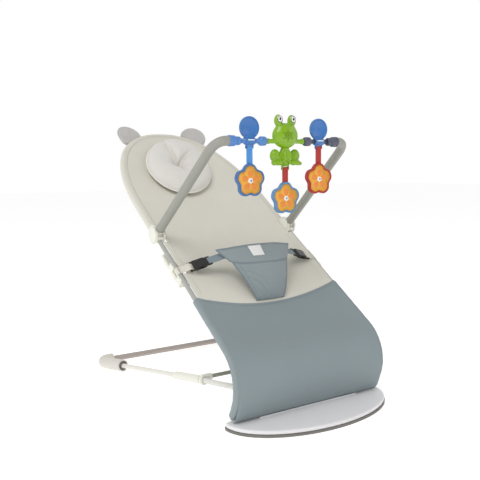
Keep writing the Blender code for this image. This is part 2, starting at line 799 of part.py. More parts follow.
def hub_outline():
    """Side outline of a hub, from its middle: round, but cut back where the arm's socket turns."""
    steps = 18
    closed = HUB_OPEN_FROM + 2 * math.pi - HUB_OPEN_TO
    points = []
    for step in range(steps + 1):
        angle = HUB_OPEN_TO + closed * step / steps
        points.append((HUB_RADIUS * math.cos(angle), HUB_RADIUS * math.sin(angle)))
    for step in range(steps - 3):
        angle = HUB_OPEN_FROM + (HUB_OPEN_TO - HUB_OPEN_FROM) * step / (steps - 4)
        points.append((HUB_CORE_RADIUS * math.cos(angle), HUB_CORE_RADIUS * math.sin(angle)))
    return points


def hubs():
    """Hubs clamped on the side tubes, each with a stud on both faces for the toy bar's socket to turn on."""
    along = Vector((0.0, math.cos(RECLINE), math.sin(RECLINE)))
    away = Vector((0.0, -math.sin(RECLINE), math.cos(RECLINE)))
    turn = Matrix((along, away, along.cross(away))).transposed().to_4x4()
    for word, side in SIDES.items():
        middle = Vector((side * SEAT_HALF_WIDTH, HUB.y, HUB.z))
        hub = flat_shape("hub", hub_outline(), 2 * HUB_CORE_HALF)
        hub.matrix_world = Matrix.Translation(middle) @ turn
        hub = solid(hub)
        reach = Vector((STUD_HALF, 0, 0))
        join(hub, cylinder("stud", middle - reach, middle + reach, STUD_RADIUS, 24))
        low, high = (seat_point(side * SEAT_HALF_WIDTH, HUB_T + shift) for shift in (-0.03, 0.03))
        cut(hub, cylinder("hub_bore", low, high, SEAT_TUBE_RADIUS + GAP, 16))
        finish(hub, f"hub_{word}", WHITE_PLASTIC, SEAT)


def rack_outline():
    """Side outline of a recline rack: along the tube, and away from the child under it."""
    first = 0.0
    last = NOTCH_PITCH * (NOTCH_COUNT - 1)
    clip = CLIP_HALF_LENGTH
    top = [(first - clip, RACK_GRIP), (first + clip, RACK_GRIP)]
    top += [(first + clip, -RACK_BODY_TOP), (NOTCH_PITCH - clip, -RACK_BODY_TOP)]
    top += [(NOTCH_PITCH - clip, RACK_GRIP), (NOTCH_PITCH + clip, RACK_GRIP)]
    top += [(NOTCH_PITCH + clip, -RACK_BODY_TOP), (last + clip, -RACK_BODY_TOP)]
    bottom = [(last + clip, -RACK_DEPTH)]
    notch = PROP_BAR_RADIUS + RUNNING_GAP
    seat_depth = PROP_BAR_DEPTH - notch
    for index in reversed(range(NOTCH_COUNT)):
        middle = NOTCH_PITCH * index
        bottom.append((middle + notch + NOTCH_RUN_IN, -RACK_DEPTH))
        bottom.append((middle + notch * 0.7, -(PROP_BAR_DEPTH - notch * 0.7)))
        bottom.append((middle, -seat_depth))
        bottom.append((middle - notch * 0.7, -(PROP_BAR_DEPTH - notch * 0.7)))
        bottom.append((middle - notch, -PROP_BAR_DEPTH))
        bottom.append((middle - notch, -RACK_DEPTH - NOTCH_LIP))
        bottom.append((middle - notch - NOTCH_LIP, -RACK_DEPTH - NOTCH_LIP))
    bottom.append((first - clip, -RACK_DEPTH))
    return top + bottom


def recline_racks():
    """Notched racks clipped under the side tubes, where the prop's top bar rests."""
    heading = RECLINE
    along = Vector((0.0, math.cos(heading), math.sin(heading)))
    away = Vector((0.0, -math.sin(heading), math.cos(heading)))
    for word, side in SIDES.items():
        centre_x = side * (half_width(RACK_T + NOTCH_PITCH) - RACK_INSET)
        across = along.cross(away)
        turn = Matrix((along, away, across)).transposed().to_4x4()
        rack = flat_shape("rack", rack_outline(), 2 * RACK_HALF_WIDTH)
        rack.matrix_world = Matrix.Translation(seat_point(centre_x, RACK_T)) @ turn
        rack = solid(rack)
        last = RACK_T + NOTCH_PITCH * NOTCH_COUNT
        bore = rod("rack_bore", side_tube_points(side, RACK_T - 0.03, last), SEAT_TUBE_RADIUS + GAP)
        cut(rack, solid(bore))
        finish(rack, f"recline_rack_{word}", WHITE_PLASTIC, SEAT)


def prop():
    """The prop that holds the seat up: two legs on the axle, and a top bar in the racks' notches."""
    top = seat_point(0.0, RACK_T, -PROP_BAR_DEPTH)
    carrier = pivot("prop_hinge", (0.0, AXLE_Y, AXLE_Z))
    foot = Vector((0.0, AXLE_Y, AXLE_Z))
    for word, side in SIDES.items():
        shift = Vector((side * PROP_LEG_X, 0, 0))
        reach = Vector((PROP_RING_HALF_LENGTH, 0, 0))
        low, high = foot + shift, top + shift
        leg = cylinder("leg", low, high, PROP_LEG_RADIUS, 12)
        for end in (low, high):
            join(leg, cylinder("leg_ring", end - reach, end + reach, PROP_RING_RADIUS, 16))
        for end, radius in ((low, AXLE_RADIUS), (high, PROP_BAR_RADIUS)):
            cut(leg, cylinder("leg_bore", end - 2 * reach, end + 2 * reach, radius + RUNNING_GAP, 16))
        finish(leg, f"prop_leg_{word}", FRAME_WHITE, carrier)
    reach = Vector((PROP_BAR_HALF_LENGTH, 0, 0))
    bar = cylinder("bar", top - reach, top + reach, PROP_BAR_RADIUS, 12)
    finish(bar, "prop_top_bar", STEEL, carrier)


def rail_point(side, y):
    """A point of the straight stretch of a base rail, by its distance back."""
    share = (y - RAIL_FRONT_Y) / (CORNER_Y - CORNER_BEND - RAIL_FRONT_Y)
    x = RAIL_FRONT_X + (CORNER_X - RAIL_FRONT_X) * (y - RAIL_FRONT_Y) / (CORNER_Y - RAIL_FRONT_Y)
    return Vector((side * x, y, RAIL_FRONT_Z + (CORNER_HEIGHT - RAIL_FRONT_Z) * share))


def rail_front(side):
    """Points of a base rail from its socket in the hinge block up, over the bend and back to the sleeve."""
    block_x = side * BLOCK_X
    points = [Vector((block_x, RAIL_SOCKET_Y, PLATE_TOP + BLOCK_FLOOR + 2 * GAP))]
    top = Vector((side * RAIL_BEND_X, RAIL_BEND_Y, RAIL_FRONT_Z - 0.001))
    corner = Vector((block_x, RAIL_SOCKET_Y, top.z))
    low = corner - Vector((0, 0, RAIL_DROP_BEND))
    for step in range(7):
        share = step / 6
        points.append(low * (1 - share) ** 2 + corner * 2 * share * (1 - share) + top * share**2)
    straight = rail_point(side, MID_SLEEVE_FRONT_Y)
    middle = rail_point(side, RAIL_FRONT_Y) + Vector((side * -0.002, -0.014, 0.0))
    for step in range(1, 4):
        share = step / 4
        points.append(top * (1 - share) ** 2 + middle * 2 * share * (1 - share) + straight * share**2)
    return points


def corner_points(side, along_rail, along_bar):
    """The centre line round a rear corner: from the rail, through the bend, to the rear bar."""
    corner = Vector((side * CORNER_X, CORNER_Y, CORNER_HEIGHT))
    start = rail_point(side, CORNER_Y - along_rail)
    bend_start = rail_point(side, CORNER_Y - CORNER_BEND)
    bend_end = corner - Vector((side * CORNER_BEND, 0, 0))
    points = [start]
    for step in range(7):
        share = step / 6
        points.append(bend_start * (1 - share) ** 2 + corner * 2 * share * (1 - share) + bend_end * share**2)
    points.append(corner - Vector((side * along_bar, 0, 0)))
    return points


def base_frame():
    """Two side rails, a rear bar, corner feet that join them, and sleeves that carry the prop's axle."""
    for word, side in SIDES.items():
        rail_end = rail_point(side, CORNER_Y - CORNER_FOOT_ALONG_RAIL + CORNER_SOCKET)
        points = rail_front(side) + [rail_point(side, MID_SLEEVE_FRONT_Y), rail_end]
        finish(rod("rail", points, BASE_TUBE_RADIUS), f"base_rail_{word}", FRAME_WHITE)

        bend = corner_points(side, CORNER_FOOT_ALONG_RAIL, CORNER_FOOT_ALONG_BAR)
        foot = solid(rod("foot", bend, CORNER_FOOT_RADIUS, 6))
        mouth = rail_point(side, CORNER_Y - CORNER_FOOT_ALONG_RAIL - 0.01)
        socket_end = rail_point(side, CORNER_Y - CORNER_FOOT_ALONG_RAIL + CORNER_SOCKET + GAP)
        bar_start = CORNER_X - CORNER_FOOT_ALONG_BAR
        bar_mouth = Vector((side * (bar_start - 0.01), CORNER_Y, CORNER_HEIGHT))
        bar_end = Vector((side * (bar_start + CORNER_BAR_SOCKET + GAP), CORNER_Y, CORNER_HEIGHT))
        cut(
            foot,
            cylinder("rail_socket", mouth, socket_end, BASE_TUBE_RADIUS + GAP, 24),
            cylinder("bar_socket", bar_mouth, bar_end, REAR_BAR_RADIUS + GAP, 24),
        )
        finish(foot, f"corner_foot_{word}", PALE_RUBBER)

        front, rear = rail_point(side, MID_SLEEVE_FRONT_Y), rail_point(side, MID_SLEEVE_REAR_Y)
        sleeve = cylinder("sleeve", front, rear, MID_SLEEVE_RADIUS, 24)
        boss_root = Vector((rail_point(side, AXLE_Y).x, AXLE_Y, AXLE_Z))
        boss_end = boss_root - Vector((side * AXLE_BOSS_LENGTH, 0, 0))
        join(sleeve, cylinder("axle_boss", boss_root, boss_end, AXLE_BOSS_RADIUS))
        inside = rail_point(side, MID_SLEEVE_FRONT_Y - 0.02)
        beyond = rail_point(side, MID_SLEEVE_REAR_Y + 0.02)
        hidden = boss_end + Vector((side * (AXLE_BOSS_LENGTH - 0.010), 0, 0))
        cut(
            sleeve,
            cylinder("sleeve_bore", inside, beyond, BASE_TUBE_RADIUS + GAP, 24),
            cylinder("axle_socket", boss_end - Vector((side * 0.01, 0, 0)), hidden, AXLE_RADIUS + GAP),
        )
        finish(sleeve, f"mid_sleeve_{word}", WHITE_PLASTIC)

    half_bar = CORNER_X - CORNER_FOOT_ALONG_BAR + CORNER_BAR_SOCKET
    reach = Vector((half_bar, 0, 0))
    middle = Vector((0, CORNER_Y, CORNER_HEIGHT))
    bar = cylinder("bar", middle - reach, middle + reach, REAR_BAR_RADIUS, 12)
    finish(bar, "rear_bar", FRAME_BEIGE)

    half_axle = rail_point(RIGHT, AXLE_Y).x - 0.010 - GAP
    reach = Vector((half_axle, 0, 0))
    middle = Vector((0, AXLE_Y, AXLE_Z))
    finish(cylinder("prop_axle", middle - reach, middle + reach, AXLE_RADIUS, 12), "prop_axle", STEEL)


def plate_outline(grow):
    """The foot plate seen from above: half an ellipse in front, and a narrower tail under the seat."""
    half = PLATE_HALF_WIDTH + grow
    tail_half = PLATE_TAIL_HALF_WIDTH + grow
    tail = PLATE_TAIL + grow
    points = []
    steps = 28
    for step in range(steps + 1):
        angle = math.pi + math.pi * step / steps
        points.append((half * math.cos(angle), (PLATE_DEPTH + grow) * math.sin(angle)))
    shoulder = PLATE_SHOULDER + grow
    rear = [(half - 0.003, shoulder), (tail_half + 0.008, shoulder + 0.004), (tail_half, shoulder + 0.011)]
    rear += [(tail_half, tail - PLATE_TAIL_CORNER), (tail_half - PLATE_TAIL_CORNER, tail)]
    return points + rear + [(-x, y) for x, y in reversed(rear)]


def foot_plate():
    pad = flat_shape("foot_pad", plate_outline(PAD_OVERHANG), PAD_THICKNESS)
    pad.location = (0, 0, PAD_THICKNESS / 2)
    finish(pad, "foot_pad", RUBBER)
    thickness = PLATE_TOP - PAD_THICKNESS - GAP
    plate = flat_shape("foot_plate", plate_outline(0.0), thickness, PLATE_EDGE)
    plate.location = (0, 0, PLATE_TOP - thickness / 2)
    plate = solid(plate)
    for side in SIDES.values():
        foot, head = peg_ends(side)
        cut(plate, cylinder("peg_hole", foot - Vector((0, 0, 0.01)), head, PEG_RADIUS + GAP, 16))
    finish(plate, "foot_plate", PLATE_GREY)


def peg_ends(side):
    """Lower and upper ends of the peg that holds a hinge block in the foot plate."""
    place = Vector((side * BLOCK_X, RAIL_SOCKET_Y / 2, PAD_THICKNESS + 2 * GAP))
    return place, Vector((place.x, place.y, PLATE_TOP + BLOCK_FLOOR / 2))


def hinge_blocks():
    """Blocks on the foot plate: a bearing for the seat's front bar, and a socket for a base rail."""
    for word, side in SIDES.items():
        bottom = PLATE_TOP + GAP
        boss_reach = Vector((BLOCK_HALF_WIDTH, 0, 0))
        axis = Vector((side * BLOCK_X, 0.0, HINGE_HEIGHT))
        block = cylinder("block", axis - boss_reach, axis + boss_reach, BLOCK_BOSS_RADIUS, 24)
        rear = RAIL_SOCKET_Y + BASE_TUBE_RADIUS + SOCKET_WALL
        floor_depth = rear + PEDESTAL_HALF_DEPTH
        pedestal = HINGE_HEIGHT - bottom
        post = Vector((side * BLOCK_X, RAIL_SOCKET_Y, bottom))
        peg_foot, peg_head = peg_ends(side)
        join(
            block,
            box(
                "block_floor",
                (2 * BLOCK_HALF_WIDTH, floor_depth, BLOCK_FLOOR),
                (side * BLOCK_X, (rear - PEDESTAL_HALF_DEPTH) / 2, bottom + BLOCK_FLOOR / 2),
            ),
            box(
                "pedestal",
                (2 * BLOCK_HALF_WIDTH - 0.0002, 2 * PEDESTAL_HALF_DEPTH - 0.0002, pedestal),
                (side * BLOCK_X, 0.0, bottom + pedestal / 2 + 0.0001),
            ),
            cylinder(
                "rail_post",
                post + Vector((0, 0, 0.0001)),
                post + Vector((0, 0, RAIL_POST)),
                BASE_TUBE_RADIUS + SOCKET_WALL,
                24,
            ),
            cylinder("peg", peg_foot, peg_head, PEG_RADIUS, 16),
        )
        rail_foot = rail_front(side)[0]
        cut(
            block,
            cylinder(
                "bar_bore", axis - 2 * boss_reach, axis + 2 * boss_reach, SEAT_TUBE_RADIUS + RUNNING_GAP, 24
            ),
            cylinder(
                "rail_bore",
                rail_foot - Vector((0, 0, GAP)),
                rail_foot + Vector((0, 0, 0.03)),
                BASE_TUBE_RADIUS + GAP,
                24,
            ),
        )
        finish(block, f"hinge_block_{word}", WHITE_PLASTIC)


def toy_arms():
    """Two grey tubes that rise from sockets on the hubs and turn inwards to the toy bar."""
    for word, side in SIDES.items():
        middle = Vector((side * SEAT_HALF_WIDTH, HUB.y, HUB.z))
        corner = Vector((side * ARM_TOP_X, TOY_BAR_Y, TOY_BAR_Z))
        direction = (corner - middle).normalized()
        upright = Vector((0.0, direction.y, direction.z)).normalized()
        outward = Vector((1.0, 0.0, 0.0))
        turn = Matrix((outward, upright.cross(outward), upright)).transposed().to_4x4()

        cheeks = []
        for way in (-1, 1):
            inner = middle + way * (SOCKET_HALF - CHEEK) * outward
            outer = middle + way * SOCKET_HALF * outward
            cheeks.append(cylinder("cheek", inner, outer, SOCKET_RADIUS, 28))
        bridge = box(
            "bridge",
            (2 * SOCKET_HALF - 0.0004, 2 * BRIDGE_HALF_WIDTH, BRIDGE_END + 0.002 - BRIDGE_START),
            middle + upright * (BRIDGE_START + BRIDGE_END + 0.002) / 2,
            turn=turn,
        )
        socket = join(cheeks[0], cheeks[1], bridge)
        chord_depth = SOCKET_RADIUS
        chord = box(
            "chord",
            (4 * SOCKET_HALF, 4 * SOCKET_RADIUS, chord_depth),
            middle + direction * (BRIDGE_END + chord_depth / 2),
            turn=direction_matrix(direction),
        )
        recess = (STUD_HALF + GAP) * outward
        cut(socket, chord, cylinder("recess", middle - recess, middle + recess, STUD_RADIUS + GAP, 24))
        stub_start = middle + direction * (BRIDGE_END - 0.0015)
        join(socket, cylinder("stub", stub_start, middle + direction * STUB_END, STUB_RADIUS, 24))
        finish(socket, f"arm_socket_{word}", WHITE_PLASTIC, TOY_BAR)

        bend = ARM_BEND_RADIUS
        start = corner - direction * bend
        end = corner - Vector((side * (bend - ARM_BEND_LEAD), 0, 0))
        foot = middle + direction * (BRIDGE_END + GAP)
        points = [foot]
        for step in range(ARM_BEND_STEPS + 1):
            share = step / ARM_BEND_STEPS
            points.append(start * (1 - share) ** 2 + corner * 2 * share * (1 - share) + end * share**2)
        points.append(Vector((side * (ARM_END_X + GAP), TOY_BAR_Y, TOY_BAR_Z)))
        arm = solid(rod("arm", points, ARM_RADIUS, 6))
        bore_end = middle + direction * (STUB_END + GAP)
        cut(arm, cylinder("arm_bore", foot - direction * 0.002, bore_end, STUB_RADIUS + GAP, 24))
        finish(arm, f"toy_arm_{word}", GREY_PAINT, TOY_BAR)


def toy_bar():
    """The rod between the arms, with its end caps and the coloured sleeves on it."""
    axis = Vector((0.0, TOY_BAR_Y, TOY_BAR_Z))
    reach = Vector((ARM_END_X - 0.001, 0, 0))
    finish(cylinder("toy_rod", axis - reach, axis + reach, ROD_RADIUS, 12), "toy_rod", STEEL, TOY_BAR)
    colours = {"left": BLUE_PLASTIC, "right": DARK_PLASTIC}
    for word, side in SIDES.items():
        cap = [
            (CAP_WIDE_RADIUS - 0.001, CAP_LENGTH),
            (CAP_WIDE_RADIUS, CAP_LENGTH - 0.001),
            (CAP_WIDE_RADIUS, CAP_LENGTH - CAP_WIDE_LENGTH + 0.003),
            (CAP_NARROW_RADIUS, CAP_LENGTH - CAP_WIDE_LENGTH),
            (CAP_NARROW_RADIUS, 0.002),
            (CAP_NARROW_RADIUS - 0.002, 0.0),
            (SLEEVE_BORE, 0.0),
            (SLEEVE_BORE, CAP_LENGTH),
        ]
        cap_place = axis + Vector((side * (ARM_END_X - CAP_LENGTH), 0, 0))
        finish(turned("cap", cap, cap_place, (side, 0, 0)), f"end_cap_{word}", colours[word], TOY_BAR)

        outer = ARM_END_X - CAP_LENGTH - GAP - SLEEVE_INNER_X
        sleeve = [
            (TOY_SLEEVE_RADIUS, outer),
            (TOY_SLEEVE_RADIUS, KNOB_LENGTH),
            (KNOB_RADIUS - 0.004, KNOB_LENGTH),
            (KNOB_RADIUS, KNOB_LENGTH - 0.004),
            (KNOB_RADIUS, 0.004),
            (KNOB_RADIUS - 0.004, 0.0),
            (SLEEVE_BORE, 0.0),
            (SLEEVE_BORE, outer),
        ]
        sleeve_place = axis + Vector((side * SLEEVE_INNER_X, 0, 0))
        made = turned("sleeve", sleeve, sleeve_place, (side, 0, 0))
        finish(made, f"toy_sleeve_{word}", colours[word], TOY_BAR)


def hanger(item, x, z, drop):
    """Join two lugs and a cross pin under a piece, for a strap's loop to hang on."""
    inner = STRAP_HALF_WIDTH + GAP
    for side in SIDES.values():
        place = (x + side * (inner + LUG_THICKNESS / 2), TOY_BAR_Y, z - drop / 2 - 0.001)
        join(item, box("lug", (LUG_THICKNESS, LUG_DEPTH, drop + 0.002), place))
    reach = Vector((inner + LUG_THICKNESS / 2, 0, 0))
    middle = Vector((x, TOY_BAR_Y, z - drop))
    join(item, cylinder("strap_pin", middle - reach, middle + reach, PIN_RADIUS, 12))
    return item


def discs():
    """Blue discs that clamp on the sleeves and turn about the toy bar."""
    for word, side in SIDES.items():
        x = side * DISC_X
        carrier = pivot(f"disc_{word}_hinge", (x, TOY_BAR_Y, TOY_BAR_Z))
        middle = Vector((x, TOY_BAR_Y, TOY_BAR_Z))
        reach = Vector((CLAMP_HALF_LENGTH, 0, 0))
        clamp = cylinder("clamp", middle - reach, middle + reach, CLAMP_RADIUS)
        face = middle + Vector((0, 0, DISC_HEIGHT))
        half = Vector((0, DISC_THICKNESS / 2, 0))
        join(clamp, cylinder("disc", face - half, face + half, DISC_RADIUS, 32))
        hanger(clamp, x, TOY_BAR_Z, PIN_DROP)
        bore = cylinder("clamp_bore", middle - 2 * reach, middle + 2 * reach, TOY_SLEEVE_RADIUS + RUNNING_GAP)
        cut(clamp, bore)
        finish(clamp, f"toy_disc_{word}", BLUE_PLASTIC, carrier)


def frog():
    """A green toy frog on the middle of the rod: head, trunk with legs, and eyes."""
    carrier = pivot("frog_hinge", (0, TOY_BAR_Y, TOY_BAR_Z))
    axis = Vector((0, TOY_BAR_Y, TOY_BAR_Z))
    head_place = axis + Vector((0, 0, FROG_HEAD_LIFT))
    head = ball("head", FROG_HEAD, head_place, 20, 12)
    arm_reach = Vector((SLEEVE_INNER_X - GAP, 0, 0))
    join(head, cylinder("frog_arms", axis - arm_reach, axis + arm_reach, FROG_ARM_RADIUS, 16))
    for word, side in SIDES.items():
        join(head, ball("eye_bump", EYE_BUMP, axis + Vector((side * EYE_X, 0, EYE_BUMP_LIFT)), 12, 8))
        eye = axis + Vector((side * EYE_X, -EYE_FORWARD, EYE_LIFT))
        cut(head, ball("eye_socket", (EYE_RADIUS + GAP,) * 3, eye, 12, 8))
        finish(ball("eye", (EYE_RADIUS,) * 3, eye, 12, 8), f"frog_eye_{word}", EYE_WHITE, carrier)
    rod_reach = 2 * arm_reach
    cut(head, cylinder("frog_bore", axis - rod_reach, axis + rod_reach, SLEEVE_BORE, 16))
    finish(head, "frog_head", FROG_GREEN, carrier)

    trunk = ball("trunk", FROG_TRUNK, axis + Vector(FROG_TRUNK_OFFSET), 14, 8)
    for side in SIDES.values():
        mirror = Vector((side, 1, 1))
        join(
            trunk,
            ball("thigh", FROG_THIGH, axis + mirror * Vector(FROG_THIGH_OFFSET), 12, 7),
            ball("foot", FROG_FOOT, axis + mirror * Vector(FROG_FOOT_OFFSET), 12, 7),
        )
    hanger(trunk, 0.0, TOY_BAR_Z - FROG_HANGER_DROP, FROG_PIN_DROP - FROG_HANGER_DROP)
    head_clearance = [radius + GAP for radius in FROG_HEAD]
    cut(trunk, ball("neck_seat", head_clearance, head_place, 20, 12))
    finish(trunk, "frog_body", FROG_GREEN, carrier)


def flower_outline():
    points = []
    steps = 40
    for step in range(steps):
        angle = 2 * math.pi * step / steps
        lobe = 5 * (angle - math.pi / 2)
        radius = FLOWER_MEAN_RADIUS + FLOWER_WAVE * math.cos(lobe) - FLOWER_LOBE_FLATTENING * math.cos(2 * lobe)
        points.append((radius * math.cos(angle), radius * math.sin(angle)))
    return points


def hanging_flower(word, x, pin_drop, strap_length, strap_colour):
    """A flower on a strap, whose loop swings on a pin."""
    pin = Vector((x, TOY_BAR_Y, TOY_BAR_Z - pin_drop))
    carrier = pivot(f"flower_{word}_hinge", pin)
    reach = Vector((STRAP_HALF_WIDTH, 0, 0))
    strap_end = strap_length + FLOWER_SLOT_DEPTH
    strap = cylinder("strap", pin - reach, pin + reach, LOOP_RADIUS, 16)
    web_length = strap_end - LOOP_RADIUS / 2
    web_place = pin - Vector((0, 0, LOOP_RADIUS / 2 + web_length / 2))
    join(strap, box("strap_web", (2 * STRAP_HALF_WIDTH, STRAP_THICKNESS, web_length), web_place))
    cut(strap, cylinder("strap_bore", pin - 2 * reach, pin + 2 * reach, PIN_RADIUS + RUNNING_GAP, 16))
    finish(strap, f"strap_{word}", strap_colour, carrier)

    flower = flat_shape("flower", flower_outline(), FLOWER_THICKNESS, 0.0015)
    centre = pin - Vector((0, 0, strap_length + FLOWER_TOP))
    flower.matrix_world = Matrix.Translation(centre) @ Matrix.Rotation(math.pi / 2, 4, "X")
    flower = solid(flower)
    slot = (
        2 * (STRAP_HALF_WIDTH + GAP),
        STRAP_THICKNESS + 2 * GAP,
        2 * (FLOWER_SLOT_DEPTH + GAP),
    )
    cut(flower, box("flower_slot", slot, centre + Vector((0, 0, FLOWER_TOP))))
    finish(flower, f"flower_{word}", FLOWER_YELLOW, carrier)


def flowers():
    hanging_flower("left", -DISC_X, PIN_DROP, SIDE_STRAP_LENGTH, BLUE_STRAP)
    hanging_flower("centre", 0.0, FROG_PIN_DROP, CENTRE_STRAP_LENGTH, RED_STRAP)
    hanging_flower("right", DISC_X, PIN_DROP, SIDE_STRAP_LENGTH, RED_STRAP)


def band_spot(u, v):
    """A place in the middle of the waistband's thickness: u from -1 to 1 across, v from 0 to 1 up it."""
    away = abs(u)
    slope = math.tan(BUCKLE_TILT)
    end_n = BUCKLE_N + slope * (BUCKLE_X - BAND_X) + BAND_END_LIFT
    rise = BAND_TOP_N - end_n
    sloping = slope * BAND_X / (2 * rise)
    share = (1 - sloping) * (1 - away**BAND_FULLNESS) ** 2 + sloping * (1 - away**2)
    tilt = BAND_TILT + (BAND_END_TILT - BAND_TILT) * away**3
    up = (2 * v - 1) * (BAND_HALF_WIDTH - BAND_TAPER * away**3)
    t = BAND_T_MIDDLE + (BAND_T_END - BAND_T_MIDDLE) * away**2 + up * math.cos(tilt)
    n = end_n + rise * share + up * math.sin(tilt)
    return seat_point(u * (BAND_X + (2 * v - 1) * BAND_FLARE), t, n)


def buckle_frame(side):
    """Local axes of a buckle: u towards the child's belly, v along the seat, w up off the sling."""
    origin = seat_point(side * BUCKLE_X, BUCKLE_T, BUCKLE_N)
    _, _, heading = seat_path(BUCKLE_T)
    normal = Vector((0.0, -math.sin(heading), math.cos(heading)))
    inward = Vector((-side, 0.0, 0.0))
    u = inward * math.cos(BUCKLE_TILT) + normal * math.sin(BUCKLE_TILT)
    w = normal * math.cos(BUCKLE_TILT) - inward * math.sin(BUCKLE_TILT)
    v = w.cross(u)
    turn = Matrix((u, v, w)).transposed().to_4x4()
    return Matrix.Translation(origin) @ turn


def placed_box(name, frame, low, high, edge=0.0):
    """A box between two corners, given in a buckle's own axes."""
    size = [upper - lower for lower, upper in zip(low, high)]
    middle = Vector([(upper + lower) / 2 for lower, upper in zip(low, high)])
    item = box(name, size, edge=edge)
    item.matrix_world = frame @ Matrix.Translation(middle)
    return item


def waistband():
    """The padded band over the child's waist."""

    def surface(u, v):
        return band_spot(2 * u - 1, v)

    band = sheet("waistband", 20, 3, surface, BAND_THICKNESS)
    return finish(band, "waistband", BLUE_GREY, SEAT)


def crotch_panel():
    """The panel that rises between the child's legs, from beside the seam to the waistband's lower edge."""
    foot_lift = FABRIC / 2 + 2 * GAP + RUNNING_GAP

    def surface(u, v):
        across = 2 * u - 1
        foot_x = across * CROTCH_HALF_FOOT
        foot = seat_point(foot_x, CROTCH_FOOT_T, sheet_n(foot_x, CROTCH_FOOT_T) + foot_lift)
        band_u = across * CROTCH_HALF_TOP / (BAND_X - BAND_FLARE)
        hem = band_spot(band_u, 0.0)
        top = hem + (hem - band_spot(band_u, 0.5)).normalized() * CROTCH_TO_BAND
        _, _, heading = seat_path(CROTCH_FOOT_T)
        along = Vector((0.0, math.cos(heading), math.sin(heading)))
        away = Vector((0.0, -math.sin(heading), math.cos(heading)))
        reach = top - foot
        place = foot + along * reach.dot(along) * v**CROTCH_RISE + away * reach.dot(away) * v
        return place + Vector((reach.x * v**CROTCH_LEG_CURVE, 0.0, 0.0))

    panel = sheet("crotch_panel", 10, 8, surface, CROTCH_THICKNESS)
    return finish(panel, "crotch_panel", BLUE_GREY, SEAT)


def buckles():
    """Side-release buckles: a housing on each side strap, and a plug with a tail that slides out of it."""
    for word, side in SIDES.items():
        frame = buckle_frame(side)
        wide, tall = BUCKLE_HALF_WIDTH, BUCKLE_HALF_HEIGHT
        low, high = (BUCKLE_TAIL, -wide, -tall), (BUCKLE_MOUTH, wide, tall)
        housing = placed_box("housing", frame, low, high, 0.0015)
        low, high = (BUCKLE_LOOP, -wide, -LOOP_HALF_HEIGHT), (BUCKLE_TAIL + 0.001, wide, LOOP_HALF_HEIGHT)
        join(housing, placed_box("tail_loop", frame, low, high))
        cavity_half = PRONG_OUT + RUNNING_GAP
        openings = {
            "tail_slot": ((BUCKLE_LOOP + LOOP_BAR, TAIL_SLOT_HALF, 0.01), BUCKLE_TAIL - 0.0008),
            "cavity": ((CAVITY_END, cavity_half, CAVITY_HALF_HEIGHT), 0.02),
            "side_window": ((WINDOW_FROM, 0.02, CAVITY_HALF_HEIGHT), WINDOW_TO),
        }
        for name, ((start, half, height), end) in openings.items():
            cut(housing, placed_box(name, frame, (start, -half, -height), (end, half, height)))
        finish(housing, f"buckle_housing_{word}", BLACK_PLASTIC, SEAT)

        bar_start = BUCKLE_MOUTH + RUNNING_GAP
        wide, tall = PLUG_HALF_WIDTH, PLUG_HALF_HEIGHT
        plug = placed_box("plug", frame, (bar_start, -wide, -tall), (PLUG_LOOP_END, wide, tall))
        tongue = CAVITY_HALF_HEIGHT - RUNNING_GAP
        low = (CAVITY_END + 0.001, -TONGUE_HALF_WIDTH, -tongue)
        join(plug, placed_box("tongue", frame, low, (bar_start + 0.001, TONGUE_HALF_WIDTH, tongue)))
        slot_low = (PLUG_BAR_END + 0.002, -WEB_HALF_WIDTH - GAP, -0.01)
        slot_high = (PLUG_LOOP_END - 0.0020, WEB_HALF_WIDTH + GAP, 0.01)
        groove_low = (PLUG_LOOP_END - 0.004, -WEB_HALF_WIDTH - GAP, -WEB_THICKNESS / 2 - GAP)
        groove_high = (PLUG_LOOP_END + 0.004, WEB_HALF_WIDTH + GAP, 0.01)
        cut(
            plug,
            placed_box("plug_slot", frame, slot_low, slot_high),
            placed_box("web_groove", frame, groove_low, groove_high),
        )
        for way in (1, -1):
            inner, outer = sorted((way * PRONG_IN, way * PRONG_OUT))
            low = (CAVITY_END + 0.001, inner, -tongue)
            join(plug, placed_box("prong", frame, low, (bar_start + 0.001, outer, tongue)))
        carrier = pivot(f"plug_{word}_slide", frame.translation)
        finish(plug, f"buckle_plug_{word}", BLACK_PLASTIC, carrier)
        tail_start = (PLUG_BAR_END + 0.0026, -WEB_HALF_WIDTH, -WEB_THICKNESS / 2)
        tail = placed_box("tail", frame, tail_start, (WEB_TAIL_END, WEB_HALF_WIDTH, WEB_THICKNESS / 2))
        finish(tail, f"plug_webbing_{word}", BLUE_GREY, carrier)


def side_straps():
    """Webbing that loops round each bare side tube and goes over, through and back under its buckle's bar."""
    ring_middle = SEAT_TUBE_RADIUS + GAP + WEB_THICKNESS / 2
    for word, side in SIDES.items():
        frame = buckle_frame(side)
        middle = seat_point(side * half_width(BUCKLE_T), BUCKLE_T)
        reach = WEB_HALF_WIDTH * (frame.to_3x3() @ Vector((0, 1, 0)))
        strap = cylinder("strap_loop", middle - reach, middle + reach, ring_middle + WEB_THICKNESS / 2, 24)
        tube = frame.inverted() @ middle
        leave_u = tube.x + ring_middle * math.cos(STRAP_LEAVES)
        path = [(leave_u, tube.z + ring_middle * math.sin(STRAP_LEAVES))] + STRAP_PATH

        def surface(across, along):
            step = round(along * (len(path) - 1))
            return frame @ Vector((path[step][0], (2 * across - 1) * WEB_HALF_WIDTH, path[step][1]))

        join(strap, sheet("strap_web", 1, len(path) - 1, surface, WEB_THICKNESS))
        cut(
            strap,
            cylinder("tube_bore", middle - 2 * reach, middle + 2 * reach, SEAT_TUBE_RADIUS + GAP, 24),
        )
        finish(strap, f"side_strap_{word}", CREAM, SEAT)


